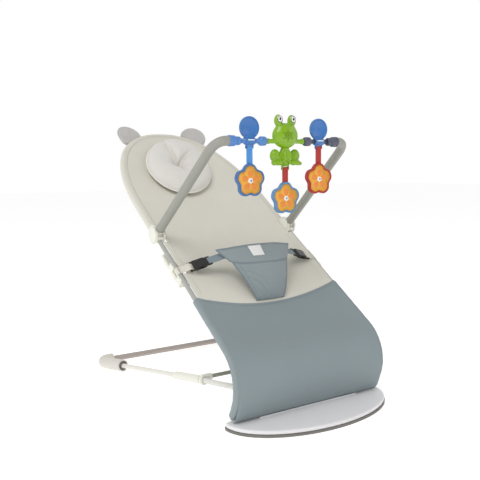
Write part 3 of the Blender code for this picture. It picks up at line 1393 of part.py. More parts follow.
foot_plate()
hinge_blocks()
base_frame()
prop()
seat_frame()
recline_racks()
hubs()
lower_cover()
upper_cover()
ears()
pillow()
side_straps()
buckles()
waistband()
crotch_panel()
toy_arms()
toy_bar()
discs()
frog()
flowers()
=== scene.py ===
"""The looks of a baby bouncer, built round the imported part: cloth, cushions, toys, finishes, light and camera.

Metres, in the part's frame: +Z up, +Y towards the child's head, the origin on the floor under the seat hinge.
"""

import json
import math

import bmesh
import bpy
import numpy as np
from mathutils import Matrix, Vector, noise


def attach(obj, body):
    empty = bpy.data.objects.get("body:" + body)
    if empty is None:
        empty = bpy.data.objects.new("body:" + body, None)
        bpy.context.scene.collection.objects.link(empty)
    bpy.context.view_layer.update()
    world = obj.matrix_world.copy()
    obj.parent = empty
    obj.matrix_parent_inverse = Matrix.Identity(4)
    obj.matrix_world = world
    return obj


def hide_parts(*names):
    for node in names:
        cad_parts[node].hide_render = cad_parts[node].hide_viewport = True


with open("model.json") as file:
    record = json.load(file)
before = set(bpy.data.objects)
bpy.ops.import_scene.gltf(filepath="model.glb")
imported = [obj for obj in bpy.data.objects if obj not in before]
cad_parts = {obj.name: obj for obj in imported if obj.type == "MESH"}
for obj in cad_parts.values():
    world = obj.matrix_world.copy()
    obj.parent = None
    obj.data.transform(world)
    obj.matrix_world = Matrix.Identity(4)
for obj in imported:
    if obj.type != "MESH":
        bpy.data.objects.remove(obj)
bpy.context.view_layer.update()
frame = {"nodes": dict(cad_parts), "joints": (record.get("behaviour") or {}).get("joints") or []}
NODES = frame["nodes"]
PLACES = {joint["name"]: Vector(joint.get("pos_m") or (0, 0, 0)) for joint in frame["joints"]}
SIDES = {"left": -1, "right": 1}
UP = Vector((0, 0, 1))

# The seat's surface, in the part's own sizes: t runs up the tube from the hinge, n stands square to it
HINGE_HEIGHT = PLACES["seat_recline"].z
TUBE_RADIUS = 0.005
KNEE_RADIUS = 0.080
FRONT_HEADING = math.radians(134.0)
RECLINE = math.radians(32.5)
KNEE_LENGTH = KNEE_RADIUS * (FRONT_HEADING - RECLINE)
BACK_LENGTH = 0.430
HEAD_CURL_RADIUS = 3.8
HALF_WIDTH = 0.1735
ARCH_START = 0.600
ARCH_LENGTH = 0.293
ARCH_TOP = ARCH_START + ARCH_LENGTH
ARCH_MARGIN = 0.012
SQUARENESS = 2.3
SHEET_HEIGHT = 0.0064
SEAM = 0.276
SEAM_DIP = 0.020
SAG_FRONT = 0.003
SAG_SEAT = 0.018
SAG_LESS_AT_BACK = 0.006
SAG_BEGINS = (0.02, 0.10)
SAG_FULL = (0.10, 0.20)
SAG_EASES = (0.22, 0.31)
SAG_ENDS = (0.72, ARCH_TOP)
HEM_LIFT = 0.004
HEM_LENGTH = 0.05

# Covers
HUB_T = 0.4856
SLEEVE_START = HUB_T + 0.0235
SLEEVE_RADIUS = 0.0074
BARE_EDGE = 0.1705
NOTCH_EDGE = 0.1605
STRAP_NOTCH = (0.3523, 0.3747)
HUB_NOTCH = (0.4576, 0.5084)
COVER_START = SEAM - 0.006
ROW_GAP = 0.0002
EDGE_RISE = 0.0007
EDGE_FADE = (0.001, 0.018)
CALM_EDGE = 0.02
PUCKER_FADE = 0.005
GATHER_DEPTH = 0.0009
GATHER_LENGTH = 0.011
FRONT_HEM = 0.016
HEM_ROLL = 0.0078
LOWER_SLEEVE_X = 0.1475
CORNER_ROLL = 0.0074
CORNER_ROLL_X = 0.1732
CORNER_ROLL_BEND = 0.012
CORNER_ROLL_T = (0.046, 0.038, 0.030, 0.022, 0.016)
CORNER_ROLL_END = (0.158, 0.150, 0.142)
CORNER_START = 0.034
CORNER_INSET = 0.028
CREAM_THICKNESS = 0.0012
BLUE_GREY_THICKNESS = 0.0013
STITCH_LENGTH = 0.0026
STITCH_SPACING = 0.0042
STITCH_SHAPE = ((-0.5, 0.3, 0.0), (-0.25, 1.0, 0.8), (0.25, 1.0, 0.8), (0.5, 0.3, 0.0))

# Ears
EAR_X = 0.083
EAR_RADIUS = 0.0335
EAR_OUT = 0.020
EAR_THICKNESS = 0.0095
EAR_TILT = math.radians(17.0)
EAR_SEAM_RADIUS = 0.0011

# Head pillow
PILLOW_X = -0.008
PILLOW_T = 0.7465
PILLOW_TURN = math.radians(-25.0)
PILLOW_HALF = (0.0840, 0.1100)
PILLOW_RIM = 0.0100
PILLOW_CROWN = 0.0400
DIMPLE = (-0.0145, 0.7430)
DIMPLE_WIDTH = 0.022
TUCKS = (
    (DIMPLE, (-0.0230, 0.7850), (-0.0190, 0.8320)),
    (DIMPLE, (0.0100, 0.7640), (0.0520, 0.7980)),
    (DIMPLE, (-0.0080, 0.7240), (-0.0150, 0.7020)),
)
TUCK_DEPTH = 0.0092
PINCH_DEPTH = 0.0026
PIPING_RADIUS = 0.0018

# Harness
BAND_T_MIDDLE = SEAM + 0.054
BAND_T_END = 0.357
BAND_X = 0.0825
BAND_FLARE = 0.0105
BAND_HALF = 0.0225
BAND_TAPER = 0.0057
BAND_TILT = math.radians(17.0)
BAND_END_TILT = math.radians(11.0)
BAND_END_LIFT = 0.0068
BAND_TOP_N = 0.0615
BAND_FULLNESS = 2.33
BAND_THICKNESS = 0.0062
CROTCH_FOOT_T = SEAM - 0.012
CROTCH_FOOT_LIFT = 0.0022
CROTCH_TO_BAND = 0.0012
CROTCH_HALF_TOP = 0.0700
CROTCH_HALF_FOOT = 0.034
CROTCH_LEG_CURVE = 1.4
CROTCH_RISE = 1.6
CROTCH_THICKNESS = 0.0054
BAND_BINDING = 0.0016
CROTCH_BINDING = 0.0015
LABEL_THICKNESS = 0.0006
LABEL_ACROSS = (0.310, 0.150)
LABEL_UP = (0.34, 0.56)
BUCKLE_T = 0.3635
BUCKLE_X = 0.1285
BUCKLE_N = 0.0180
BUCKLE_TILT = math.radians(18.0)
WEB_WIDTH = 0.020
WEB_THICKNESS = 0.0014
STRAP_ROUND_TUBE = 0.0011
STRAP_LEAVES = 75.0
STRAP_TURN = 350.0
STRAP_THROUGH_BUCKLE = (
    (-0.0330, 0.0012), (-0.0275, 0.0029), (-0.0245, 0.0032), (-0.0222, 0.0028), (-0.0206, 0.0017),
    (-0.0201, 0.0), (-0.0206, -0.0017), (-0.0222, -0.0028), (-0.0250, -0.0033), (-0.0310, -0.0036),
)
PLUG_WEB = (0.0172, 0.0635)

# Folds in the harness: from one (u, v) place to another, with a strength
BAND_FOLDS = (
    ((0.30, 0.20), (0.78, 0.34), 0.9),
    ((0.86, 0.10), (0.97, 0.72), 0.9),
    ((0.88, 0.80), (0.99, 0.50), 0.6),
    ((0.03, 0.20), (0.14, 0.78), 0.8),
    ((0.52, 0.95), (0.70, 0.66), 0.5),
)
PANEL_FOLDS = (
    ((0.03, 0.90), (0.62, 0.95), 1.0),
    ((0.03, 0.62), (0.30, 0.84), 0.8),
    ((0.02, 0.93), (0.42, 0.52), 0.9),
    ((0.10, 0.70), (0.36, 0.20), 0.8),
    ((0.60, 0.95), (0.97, 0.88), 0.9),
    ((0.97, 0.80), (0.74, 0.56), 0.6),
    ((0.42, 0.12), (0.58, 0.10), 0.5),
)

# Toy bar. A turned profile is (radius, height) pairs
BAR = PLACES["frog_turn"]
ROD_BORE = 0.0035
ARM_END_X = 0.131
CAP_LENGTH = 0.0255
CAP = (
    (0.0098, 0.0255), (0.0105, 0.0249), (0.0106, 0.0205), (0.0099, 0.0199), (0.0099, 0.0188), (0.0104, 0.0182),
    (0.0101, 0.0128), (0.0082, 0.0098), (0.0076, 0.0096), (0.0078, 0.0085), (0.0082, 0.0080), (0.0082, 0.0022),
    (0.0074, 0.0006), (0.0060, 0.0), (ROD_BORE, 0.0), (ROD_BORE, 0.0255),
)
SLEEVE_X = 0.0452
SLEEVE = (
    (0.0046, 0.0600), (0.0046, 0.0182), (0.0056, 0.0172), (0.0078, 0.0158), (0.0089, 0.0140), (0.0091, 0.0122),
    (0.0091, 0.0056), (0.0087, 0.0032), (0.0072, 0.0014), (0.0054, 0.0004), (0.0046, 0.0), (ROD_BORE, 0.0),
    (ROD_BORE, 0.0600),
)
DISC_X = PLACES["disc_right_turn"].x
DISC_RADIUS = 0.0215
DISC_HEIGHT = 0.0250
DISC_HALF = 0.0030
CLAMP = (
    (0.0062, 0.0110), (0.0070, 0.0106), (0.0073, 0.0096), (0.0073, -0.0096), (0.0070, -0.0106),
    (0.0062, -0.0110), (0.0051, -0.0110), (0.0051, 0.0110),
)
LUG_X = 0.0065
LUG_THICKNESS = 0.0018
LUG_DEPTH = 0.0050
PIN_RADIUS = 0.0016
SIDE_PIN_DROP = 0.0120
FROG_PIN_DROP = 0.0535
SIDE_STRAP = 0.0310
CENTRE_STRAP = 0.0260
STRAP_HALF = 0.0062
STRAP_WEB = 0.0008
STRAP_RIB = 0.0015
STRAP_GRIP = 0.0075
STRAP_EYE = 0.0029
FLOWER_RADIUS = 0.0304
FLOWER_WAVE = 0.0028
FLOWER_FLATTENING = 0.0006
FLOWER_TOP = FLOWER_RADIUS + FLOWER_WAVE - FLOWER_FLATTENING
FLOWER_RIM_WIDTH = 0.0042
FLOWER_RIM_HALF = 0.0045
FLOWER_FACE_INSET = 0.0040
FLOWER_FACE_HALF = 0.0036
PETAL_MIDDLE = 0.0126
PETAL_REACH = 0.0070
PETAL_HALF_WIDTH = 0.0056
PETAL_HALF = 0.0041
HEART = ((0.0, 0.0054), (0.0028, 0.0053), (0.0046, 0.0047), (0.0054, 0.0038), (0.0054, 0.0030), (0.0, 0.0030))
DOT = ((0.0, 0.0060), (0.0012, 0.0058), (0.0019, 0.0053), (0.0019, 0.0046), (0.0, 0.0046))

# Frog: half sizes of its lumps, and their places from the rod. Limbs, toes and hands are on both sides
FROG_HALF = (0.0286, 0.0178, 0.0250)
FROG_MIDDLE = 0.0110
FROG_BROW = ((0.0235, 0.0150, 0.0110), (0, -0.0005, 0.0240))
FROG_EYE_LUMP = ((0.0088, 0.0084, 0.0120), (0.0160, 0.0, 0.0402))
FROG_EYE = (0.0160, -0.0046, 0.0425)
FROG_SOCKET = (0.0062, 0.0066, 0.0076)
FROG_EYEBALL = (0.0060, 0.0060, 0.0074)
FROG_EYE_RING = (0.0046, -0.0038, 0.0057)
FROG_PUPIL = ((0.0023, 0.0014, 0.0029), (0.0, -0.0055, 0.0004))
FROG_GAZE = math.radians(-20.0)
FROG_FACE = (-0.0040, 0.0, 0.0108)
FROG_HOLES = (0.0038, 0.0074, 0.0110)
FROG_HOLE_BETWEEN = 0.0066
FROG_ARM = ((0.018, 0.030, 0.0449), 0.0046)
FROG_CUFF = ((0.0385, 0.0400, 0.0444, 0.0449), 0.0056)
FROG_TRUNK = (
    ((0.0130, 0.0105, 0.0190), (0, 0.001, -0.0285)),
    ((0.0080, 0.0090, 0.0080), (0, 0.000, -0.0150)),
)
FROG_LIMBS = (
    ((0.0108, 0.0085, 0.0130), (0.0240, 0.001, -0.0280)),
    ((0.0110, 0.0080, 0.0072), (0.0165, 0.001, -0.0335)),
    ((0.0042, 0.0050, 0.0120), (0.0060, -0.0070, -0.0300)),
    ((0.0145, 0.0100, 0.0056), (0.0200, -0.003, -0.0412)),
)
FROG_TOE = (0.0044, 0.0070, 0.0038)
FROG_HAND = ((0.0036, 0.0060, 0.0030), (0.0052, -0.0085, -0.0425))
FROG_LUG_Z = -0.036

# Frame details
RAIL_FRONT = Vector((0.166, 0.107, 0.061))
RAIL_CORNER = Vector((0.2375, 0.504, 0.0135))
RAIL_LEVEL_Y = 0.482
HUB_COVER = ((0.0, 0.0036), (0.0090, 0.0034), (0.0140, 0.0028), (0.0176, 0.0016), (0.0190, 0.0), (0.0, 0.0))
HUB_COVER_X = 0.0105
BEAD_SPOT = (-0.0112, 0.0136)
BEAD_RADIUS = 0.0016

# Light, floor and camera
SKY_ABOVE = 0.58
SKY_FRONT = 0.55
FLOOR_HALF = 12
FLOOR_SHADE = 0.90
FLOOR_GLOW = 0.46
LAMPS = (("key", (-1.5, -0.9, 2.7), 1.8, 34.0), ("fill", (2.2, -1.4, 1.8), 2.0, 6.0))
LAMP_AIM = Vector((0, 0.15, 0.25))
CAMERA_PLACE = (-0.765, -0.9856, 0.4797)
CAMERA_AZIMUTH = math.radians(-31.97)
CAMERA_DOWN = math.radians(6.459)
CAMERA_ROLL = math.radians(-0.643)
FOCAL_PIXELS = 651.6
PHOTO_PIXELS = 480


# Surfaces and solids


def link(mesh, name):
    """Put a mesh into the scene as a smooth object."""
    item = bpy.data.objects.new(name, mesh)
    bpy.context.scene.collection.objects.link(item)
    mesh.shade_smooth()
    return item


def from_faces(name, corners, faces):
    """Corners and faces as an object."""
    mesh = bpy.data.meshes.new(name)
    mesh.from_pydata([tuple(corner) for corner in corners], [], faces)
    mesh.validate()
    return link(mesh, name)


def from_shape(name, shape):
    """A bmesh as an object."""
    mesh = bpy.data.meshes.new(name)
    shape.to_mesh(mesh)
    shape.free()
    return link(mesh, name)


def facing_out(item):
    """Turn the faces of a closed piece outwards."""
    shape = bmesh.new()
    shape.from_mesh(item.data)
    bmesh.ops.recalc_face_normals(shape, faces=shape.faces)
    shape.to_mesh(item.data)
    shape.free()
    return item


def evaluated(item):
    """A piece as its modifiers leave it."""
    return item.evaluated_get(bpy.context.evaluated_depsgraph_get())


def baked(item):
    """Turn the modifiers of a piece into its mesh."""
    item.data = bpy.data.meshes.new_from_object(evaluated(item))
    item.modifiers.clear()
    return item


def quads(columns, rows):
    """The faces of a grid of corners, row after row."""
    wide = columns + 1
    for row in range(rows):
        for column in range(columns):
            here = row * wide + column
            yield here, here + 1, here + wide + 1, here + wide


def surface(name, columns, rows, place, measure=None):
    """A grid of quads. place(u, v) gives each corner, and measure(u, v) where that is on the flat cloth."""
    across = [column / columns for column in range(columns + 1)]
    along = [row / rows for row in range(rows + 1)]
    corners = [place(u, v) for v in along for u in across]
    item = from_faces(name, corners, list(quads(columns, rows)))
    if measure:
        layer = item.data.uv_layers.new(name="cloth")
        for loop in item.data.loops:
            row, column = divmod(loop.vertex_index, columns + 1)
            layer.data[loop.index].uv = measure(across[column], along[row])
    return item


def surface_normal(place, u, v):
    """The direction square to a surface at a (u, v) place."""
    along = place(min(1, u + 0.01), v) - place(max(0, u - 0.01), v)
    up = place(u, min(1, v + 0.01)) - place(u, max(0, v - 0.01))
    return along.cross(up).normalized()


def thicken(item, thickness):
    """Give a sheet its thickness, half on either side."""
    shell = item.modifiers.new("thickness", "SOLIDIFY")
    shell.thickness = thickness
    shell.offset = 0.0
    shell.use_even_offset = False
    return item


def rounded(item, width, segments=3):
    """Round the sharp edges of a piece."""
    bevel = item.modifiers.new("rounding", "BEVEL")
    bevel.width = width
    bevel.segments = segments
    bevel.limit_method = "ANGLE"
    bevel.angle_limit = math.radians(35.0)
    item.data.set_sharp_from_angle(angle=math.radians(50))
    return item


def subdivided(item):
    """Smooth a piece by one level of subdivision."""
    smoother = item.modifiers.new("smoothing", "SUBSURF")
    smoother.levels = 1
    smoother.render_levels = 1
    return item


def swept(name, points, profile, ups, cyclic=False):
    """A closed outline swept along points. profile(share) gives its (side, up) corners."""
    count = len(points)
    corners, faces = [], []
    for index, point in enumerate(points):
        before = points[index - 1] if index or cyclic else point
        after = points[(index + 1) % count] if index < count - 1 or cyclic else point
        ahead = (after - before).normalized()
        side = ahead.cross(ups[index]).normalized()
        up = side.cross(ahead)
        outline = profile(index / max(1, count - 1))
        corners += [point + side * across + up * height for across, height in outline]
    sides = len(outline)
    for index in range(count if cyclic else count - 1):
        here, there = index * sides, (index + 1) % count * sides
        for corner in range(sides):
            beyond = (corner + 1) % sides
            faces.append((here + corner, there + corner, there + beyond, here + beyond))
    if not cyclic:
        faces.append(tuple(range(sides)))
        faces.append(tuple(reversed(range((count - 1) * sides, count * sides))))
    return from_faces(name, corners, faces)


def circle(radius, steps):
    """The (x, y) corners of a circle."""
    turns = [2 * math.pi * step / steps for step in range(steps)]
    return [(radius * math.cos(turn), radius * math.sin(turn)) for turn in turns]


def round_cord(name, points, radius, ups=None, cyclic=False, sides=10):
    """Piping, binding or a thin round bar along points."""
    outline = circle(radius, sides)
    return swept(name, points, lambda share: outline, ups or [UP] * len(points), cyclic)


def webbing_along(name, points, ups):
    """Flat webbing along points, with rounded edges."""
    half, edge = WEB_WIDTH / 2, WEB_THICKNESS / 2
    outline = [(half - edge, -edge), (half, 0.0), (half - edge, edge)]
    outline += [(x, edge) for x in (half / 2, 0.0, -half / 2)]
    outline += [(edge - half, edge), (-half, 0.0), (edge - half, -edge)]
    outline += [(x, -edge) for x in (-half / 2, 0.0, half / 2)]
    return swept(name, points, lambda share: outline, ups)


def ring_faces(first, second):
    """The faces between two rings of corners, where a ring of one corner is a tip."""
    sides = max(len(first), len(second))
    faces = []
    for step in range(sides):
        beyond = (step + 1) % sides
        if len(first) == 1:
            faces.append((first[0], second[beyond], second[step]))
        elif len(second) == 1:
            faces.append((first[step], first[beyond], second[0]))
        else:
            faces.append((first[step], first[beyond], second[beyond], second[step]))
    return faces


def turned(name, profile, place, axis, sides=48):
    """A piece turned about an axis, from a profile that is a closed loop if the piece has a bore."""
    turn = Vector(axis).to_track_quat("Z", "Y").to_matrix()
    rings, corners = [], []
    for radius, height in profile:
        outline = circle(radius, sides) if radius > 0 else [(0, 0)]
        rings.append(list(range(len(corners), len(corners) + len(outline))))
        corners += [Vector((x, y, height)) for x, y in outline]
    solid = len(rings[0]) == 1 and len(rings[-1]) == 1
    faces = []
    for first, second in list(zip(rings, rings[1:])) + ([] if solid else [(rings[-1], rings[0])]):
        faces += ring_faces(first, second)
    item = facing_out(from_faces(name, [Vector(place) + turn @ corner for corner in corners], faces))
    item.data.shade_smooth()
    return item


def pad(name, columns, rows, place, thickness, power):
    """A stuffed piece: a middle surface, with a crown on both faces that closes at its border."""
    step_u, step_v = 1 / columns, 1 / rows
    corners, bottom, border = [], [], []
    for row in range(rows + 1):
        for column in range(columns + 1):
            u, v = column * step_u, row * step_v
            crown = math.sqrt(max(0.0, (1 - abs(2 * u - 1) ** power) * (1 - abs(2 * v - 1) ** power)))
            lift = surface_normal(place, u, v) * thickness * 0.5 * crown
            if row in (0, rows) or column in (0, columns):
                border.append(len(corners))
            corners.append(place(u, v) + lift)
            bottom.append(place(u, v) - lift)
    under = list(range(len(bottom)))
    for index in sorted(set(under) - set(border)):
        under[index] = len(corners)
        corners.append(bottom[index])
    faces = []
    for quad in quads(columns, rows):
        faces.append(quad)
        faces.append(tuple(under[corner] for corner in reversed(quad)))
    return from_faces(name, corners, faces), border


def inflate(item, held, pressure, cap):
    """Swell a closed piece as stuffing does. The held corners stay, and none moves further than the cap."""
    scene = bpy.context.scene
    mesh = item.data
    stiffness, frames = 12.0, 20
    before = np.array([corner.co for corner in mesh.vertices])
    group = item.vertex_groups.new(name="held")
    group.add([int(index) for index in held], 1.0, "REPLACE")
    cloth = item.modifiers.new("stuffing", "CLOTH")
    settings = cloth.settings
    settings.quality = 6
    settings.mass = 0.25
    settings.tension_stiffness = stiffness
    settings.compression_stiffness = stiffness
    settings.shear_stiffness = stiffness / 2
    settings.bending_stiffness = 0.2
    settings.use_pressure = True
    settings.uniform_pressure_force = pressure
    settings.vertex_group_mass = "held"
    settings.effector_weights.gravity = 0.0
    cloth.collision_settings.use_collision = False
    cloth.point_cache.frame_start = 1
    cloth.point_cache.frame_end = frames
    for step in range(1, frames + 1):
        scene.frame_set(step)
    swollen = evaluated(item).to_mesh()
    after = np.array([corner.co for corner in swollen.vertices])
    item.modifiers.remove(cloth)
    item.vertex_groups.clear()
    scene.frame_set(1)
    moved = after - before
    length = np.linalg.norm(moved, axis=1, keepdims=True)
    moved *= np.minimum(1.0, cap / np.maximum(length, 1e-9))
    mesh.vertices.foreach_set("co", (before + moved).astype(np.float32).ravel())
    mesh.update()
    return item


def evenly(points, spacing):
    """Points a set spacing apart along a polyline, with the direction at each."""
    found, carry = [], 0.0
    for start, end in zip(points, points[1:]):
        length = (end - start).length
        direction = (end - start) / max(length, 1e-9)
        while carry <= length:
            found.append((start + direction * carry, direction))
            carry += spacing
        carry -= length
    return found


def stitches(name, points, ups, look, width=0.0005):
    """A row of thread along points on the seat, one short raised stitch after another."""
    pairs = list(zip(points, ups))
    corners, faces = [], []
    for middle, ahead in evenly(points, STITCH_SPACING):
        up = min(pairs, key=lambda pair: (pair[0] - middle).length_squared)[1]
        side = ahead.cross(up).normalized()
        base = len(corners)
        for share, half, lift in STITCH_SHAPE:
            spot = middle + ahead * STITCH_LENGTH * share
            corners.append(spot - side * width * half)
            corners.append(spot + up * width * (lift + 0.1))
            corners.append(spot + side * width * half)
        for ring in range(3):
            first, second = base + 3 * ring, base + 3 * ring + 3
            faces += [
                (first, first + 1, second + 1, second),
                (first + 1, first + 2, second + 2, second + 1),
                (first + 2, first, second, second + 2),
            ]
        faces += [(base, base + 2, base + 1), (base + 9, base + 10, base + 11)]
    return dress(from_faces(name, corners, faces), look, "seat")


def dress(item, look, body, *replaced):
    """Give a piece its finish and its body, and hide the nodes that it stands for."""
    material, slot = look
    item.data.materials.clear()
    item.data.materials.append(material)
    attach(item, body)
    if replaced:
        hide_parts(*replaced)
    return item


# Finishes


def linear(colour):
    """A colour of shades from 0 to 255 on the linear scale of a shader."""
    return [((shade / 255 + 0.055) / 1.055) ** 2.4 if shade > 10 else shade / 255 / 12.92 for shade in colour]


def add(tree, kind, inputs=None, **settings):
    """A shader node, with sockets or plain values for its inputs."""
    made = tree.nodes.new(kind)
    for key, value in settings.items():
        setattr(made, key, value)
    for key, value in (inputs or {}).items():
        if isinstance(value, bpy.types.NodeSocket):
            tree.links.new(value, made.inputs[key])
        else:
            made.inputs[key].default_value = value
    return made


def speckle(tree, coords, scale, detail, roughness=0.5):
    """A noise from 0 to 1."""
    inputs = {"Vector": coords, "Scale": scale, "Detail": detail, "Roughness": roughness}
    return add(tree, "ShaderNodeTexNoise", inputs).outputs["Fac"]


def ranged(tree, value, low, high, start=0.0, end=1.0):
    """A value brought from one range, start to end, into another, low to high."""
    inputs = {"Value": value, "From Min": start, "From Max": end, "To Min": low, "To Max": high}
    return add(tree, "ShaderNodeMapRange", inputs).outputs["Result"]


def mixed(tree, first, second, share):
    """Two values mixed, with a share of the second."""
    return add(tree, "ShaderNodeMix", {"Factor": share, 2: first, 3: second}, data_type="FLOAT").outputs[0]


def tint(tree, factor, colour, spread):
    """A colour that goes a little darker and lighter with a factor from 0 to 1."""
    ramp = add(tree, "ShaderNodeValToRGB", {"Fac": factor})
    for stop, position, gain in zip(ramp.color_ramp.elements, (0.25, 0.75), (1 - spread, 1 + spread)):
        stop.position = position
        stop.color = (*[min(1.0, channel * gain) for channel in linear(colour)], 1.0)
    return ramp.outputs["Color"]


def shader_of(name, roughness, metallic=0.0, sheen=0.0, coat=0.0):
    """A new material, its node tree and its shader."""
    material = bpy.data.materials.new(name)
    material.use_nodes = True
    shader = material.node_tree.nodes["Principled BSDF"]
    for key, value in (
        ("Roughness", roughness),
        ("Metallic", metallic),
        ("Sheen Weight", sheen),
        ("Sheen Roughness", 0.6),
        ("Coat Weight", coat),
        ("Coat Roughness", 0.12),
    ):
        shader.inputs[key].default_value = value
    return material, material.node_tree, shader


def wire(tree, shader, shade, height, strength, depth, gloss=None):
    """Connect a shade, a relief and, where one is given, a gloss to the shader."""
    relief = add(tree, "ShaderNodeBump", {"Height": height, "Strength": strength, "Distance": depth})
    tree.links.new(shade, shader.inputs["Base Color"])
    tree.links.new(relief.outputs["Normal"], shader.inputs["Normal"])
    if gloss is not None:
        tree.links.new(gloss, shader.inputs["Roughness"])


def grainy(name, colour, roughness, grain, bump, spread=0.03, slot=None, coat=0.0):
    """Plastic, rubber or paint: a fine grain in the surface, and slow changes of shade and gloss."""
    material, tree, shader = shader_of(name, roughness, coat=coat)
    coords = add(tree, "ShaderNodeTexCoord").outputs["Object"]
    slow = speckle(tree, coords, 22.0, 4.0)
    fine = speckle(tree, coords, grain, 3.0)
    gloss = ranged(tree, slow, max(0.02, roughness - 0.06), min(1.0, roughness + 0.08))
    wire(tree, shader, tint(tree, slow, colour, spread), fine, 0.35, bump, gloss)
    return material, slot or name


def woven(name, colour, thread, bump, slot=None, flat_map=False, sheen=0.08, spread=0.05, ribs=1.0):
    """Woven cotton: threads over and under, slubs in the yarn, and a slow change of shade."""
    material, tree, shader = shader_of(name, 0.92, sheen=sheen)
    source = add(tree, "ShaderNodeTexCoord").outputs["UV" if flat_map else "Object"]
    turn = (0.0, 0.0, 0.0) if flat_map else (-RECLINE, 0.0, 0.0)
    coords = add(tree, "ShaderNodeMapping", {"Vector": source, "Rotation": turn}).outputs["Vector"]
    period = 0.314 / thread
    threads = []
    for direction, scale in (("X", period), ("Y", period * ribs)):
        inputs = {"Vector": coords, "Scale": scale, "Distortion": 0.4}
        threads.append(add(tree, "ShaderNodeTexWave", inputs, bands_direction=direction).outputs["Fac"])
    warp, weft = threads
    gap = add(tree, "ShaderNodeMath", {0: warp, 1: weft}, operation="SUBTRACT").outputs[0]
    weave = add(tree, "ShaderNodeMath", {0: gap}, operation="ABSOLUTE").outputs[0]
    slub = speckle(tree, coords, 260.0, 4.0)
    slow = speckle(tree, coords, 9.0, 3.0)
    shade = tint(tree, mixed(tree, slow, slub, 0.45), colour, spread)
    wire(tree, shader, shade, mixed(tree, weave, slub, 0.35), 0.5, bump)
    return material, slot or name


def fleecy(name, colour):
    """Short fleece: a soft nap with a strong sheen."""
    material, tree, shader = shader_of(name, 0.95, sheen=0.5)
    coords = add(tree, "ShaderNodeTexCoord").outputs["Object"]
    nap = speckle(tree, coords, 620.0, 6.0, 0.7)
    clumps = speckle(tree, coords, 60.0, 3.0)
    wire(tree, shader, tint(tree, clumps, colour, 0.06), nap, 0.6, 0.0008)
    return material, name


def brushed(name, colour, roughness):
    """Bare metal with fine drawing marks along X and a little dulling."""
    material, tree, shader = shader_of(name, roughness, metallic=0.85)
    source = add(tree, "ShaderNodeTexCoord").outputs["Object"]
    stretch = {"Vector": source, "Scale": (12.0, 900.0, 900.0)}
    marks = speckle(tree, add(tree, "ShaderNodeMapping", stretch).outputs["Vector"], 1.0, 3.0)
    slow = speckle(tree, source, 30.0, 4.0)
    gloss = ranged(tree, marks, roughness - 0.1, roughness + 0.12)
    wire(tree, shader, tint(tree, slow, colour, 0.12), marks, 0.2, 0.0001, gloss)
    return material, name


CREAM = woven("cream_fabric", (224, 221, 209), 0.0009, 0.00014, flat_map=True)
CREAM_EDGE = woven("cream_sleeve", (224, 221, 209), 0.0009, 0.00014, slot="cream_fabric")
CREAM_WEB = woven("cream_webbing", (224, 221, 208), 0.0016, 0.0003, slot="cream_fabric", ribs=0.4)
BLUE_GREY = woven("blue_grey_fabric", (142, 154, 158), 0.0009, 0.00014, flat_map=True, spread=0.04)
BLUE_GREY_PAD = woven("blue_grey_padding", (146, 157, 160), 0.0009, 0.00014, slot="blue_grey_fabric")
BLUE_GREY_EDGE = woven("blue_grey_binding", (130, 142, 150), 0.0012, 0.0002, slot="blue_grey_fabric")
BLUE_GREY_WEB = woven("blue_grey_webbing", (136, 151, 158), 0.0016, 0.0003, slot="blue_grey_fabric", ribs=0.4)
LABEL = woven("label_cloth", (240, 241, 240), 0.0007, 0.0001, slot="cream_fabric")
THREAD_CREAM = woven("cream_thread", (206, 203, 192), 0.0006, 0.0001, slot="cream_fabric")
THREAD_BLUE = woven("blue_grey_thread", (112, 128, 136), 0.0006, 0.0001, slot="blue_grey_fabric")
PILLOW = woven("pillow_fabric", (228, 225, 219), 0.0008, 0.00015, sheen=0.12, spread=0.02)
PIPING = woven("pillow_piping", (241, 240, 236), 0.0007, 0.0001, slot="pillow_fabric")
EAR = fleecy("ear_fabric", (192, 190, 187))
FRAME_WHITE = grainy("frame_white", (231, 229, 222), 0.34, 900.0, 0.00008, coat=0.2)
# Bare stretches of the seat tubes: the white frame paint drawn grey as painted shade.
SHADED_TUBE_GREY = grainy("bare_tube", (176, 177, 172), 0.36, 900.0, 0.00008, coat=0.2, slot="frame_white")
FRAME_BEIGE = grainy("frame_beige", (168, 158, 153), 0.38, 900.0, 0.00008, coat=0.15)
OLIVE = grainy("axle_finish", (160, 159, 143), 0.42, 700.0, 0.0001, slot="steel")
STEEL = brushed("steel", (150, 150, 146), 0.36)
ARM = grainy("arm_grey", (156, 156, 148), 0.46, 1100.0, 0.00008)
WHITE_PLASTIC = grainy("white_plastic", (236, 236, 224), 0.42, 1500.0, 0.00006, spread=0.015)
RUBBER = grainy("rubber", (124, 122, 116), 0.75, 1300.0, 0.00025)
PALE_RUBBER = grainy("pale_rubber", (220, 216, 208), 0.58, 1300.0, 0.00015)
# Dark rings in the sleeve gap and at the foot socket's mouth: painted shade.
SOCKET_SHADOW_RING = grainy("socket_shadow", (112, 104, 98), 0.70, 1300.0, 0.0001, slot="rubber")
PLATE = grainy("plate_grey", (238, 237, 238), 0.52, 1700.0, 0.00022, spread=0.012)
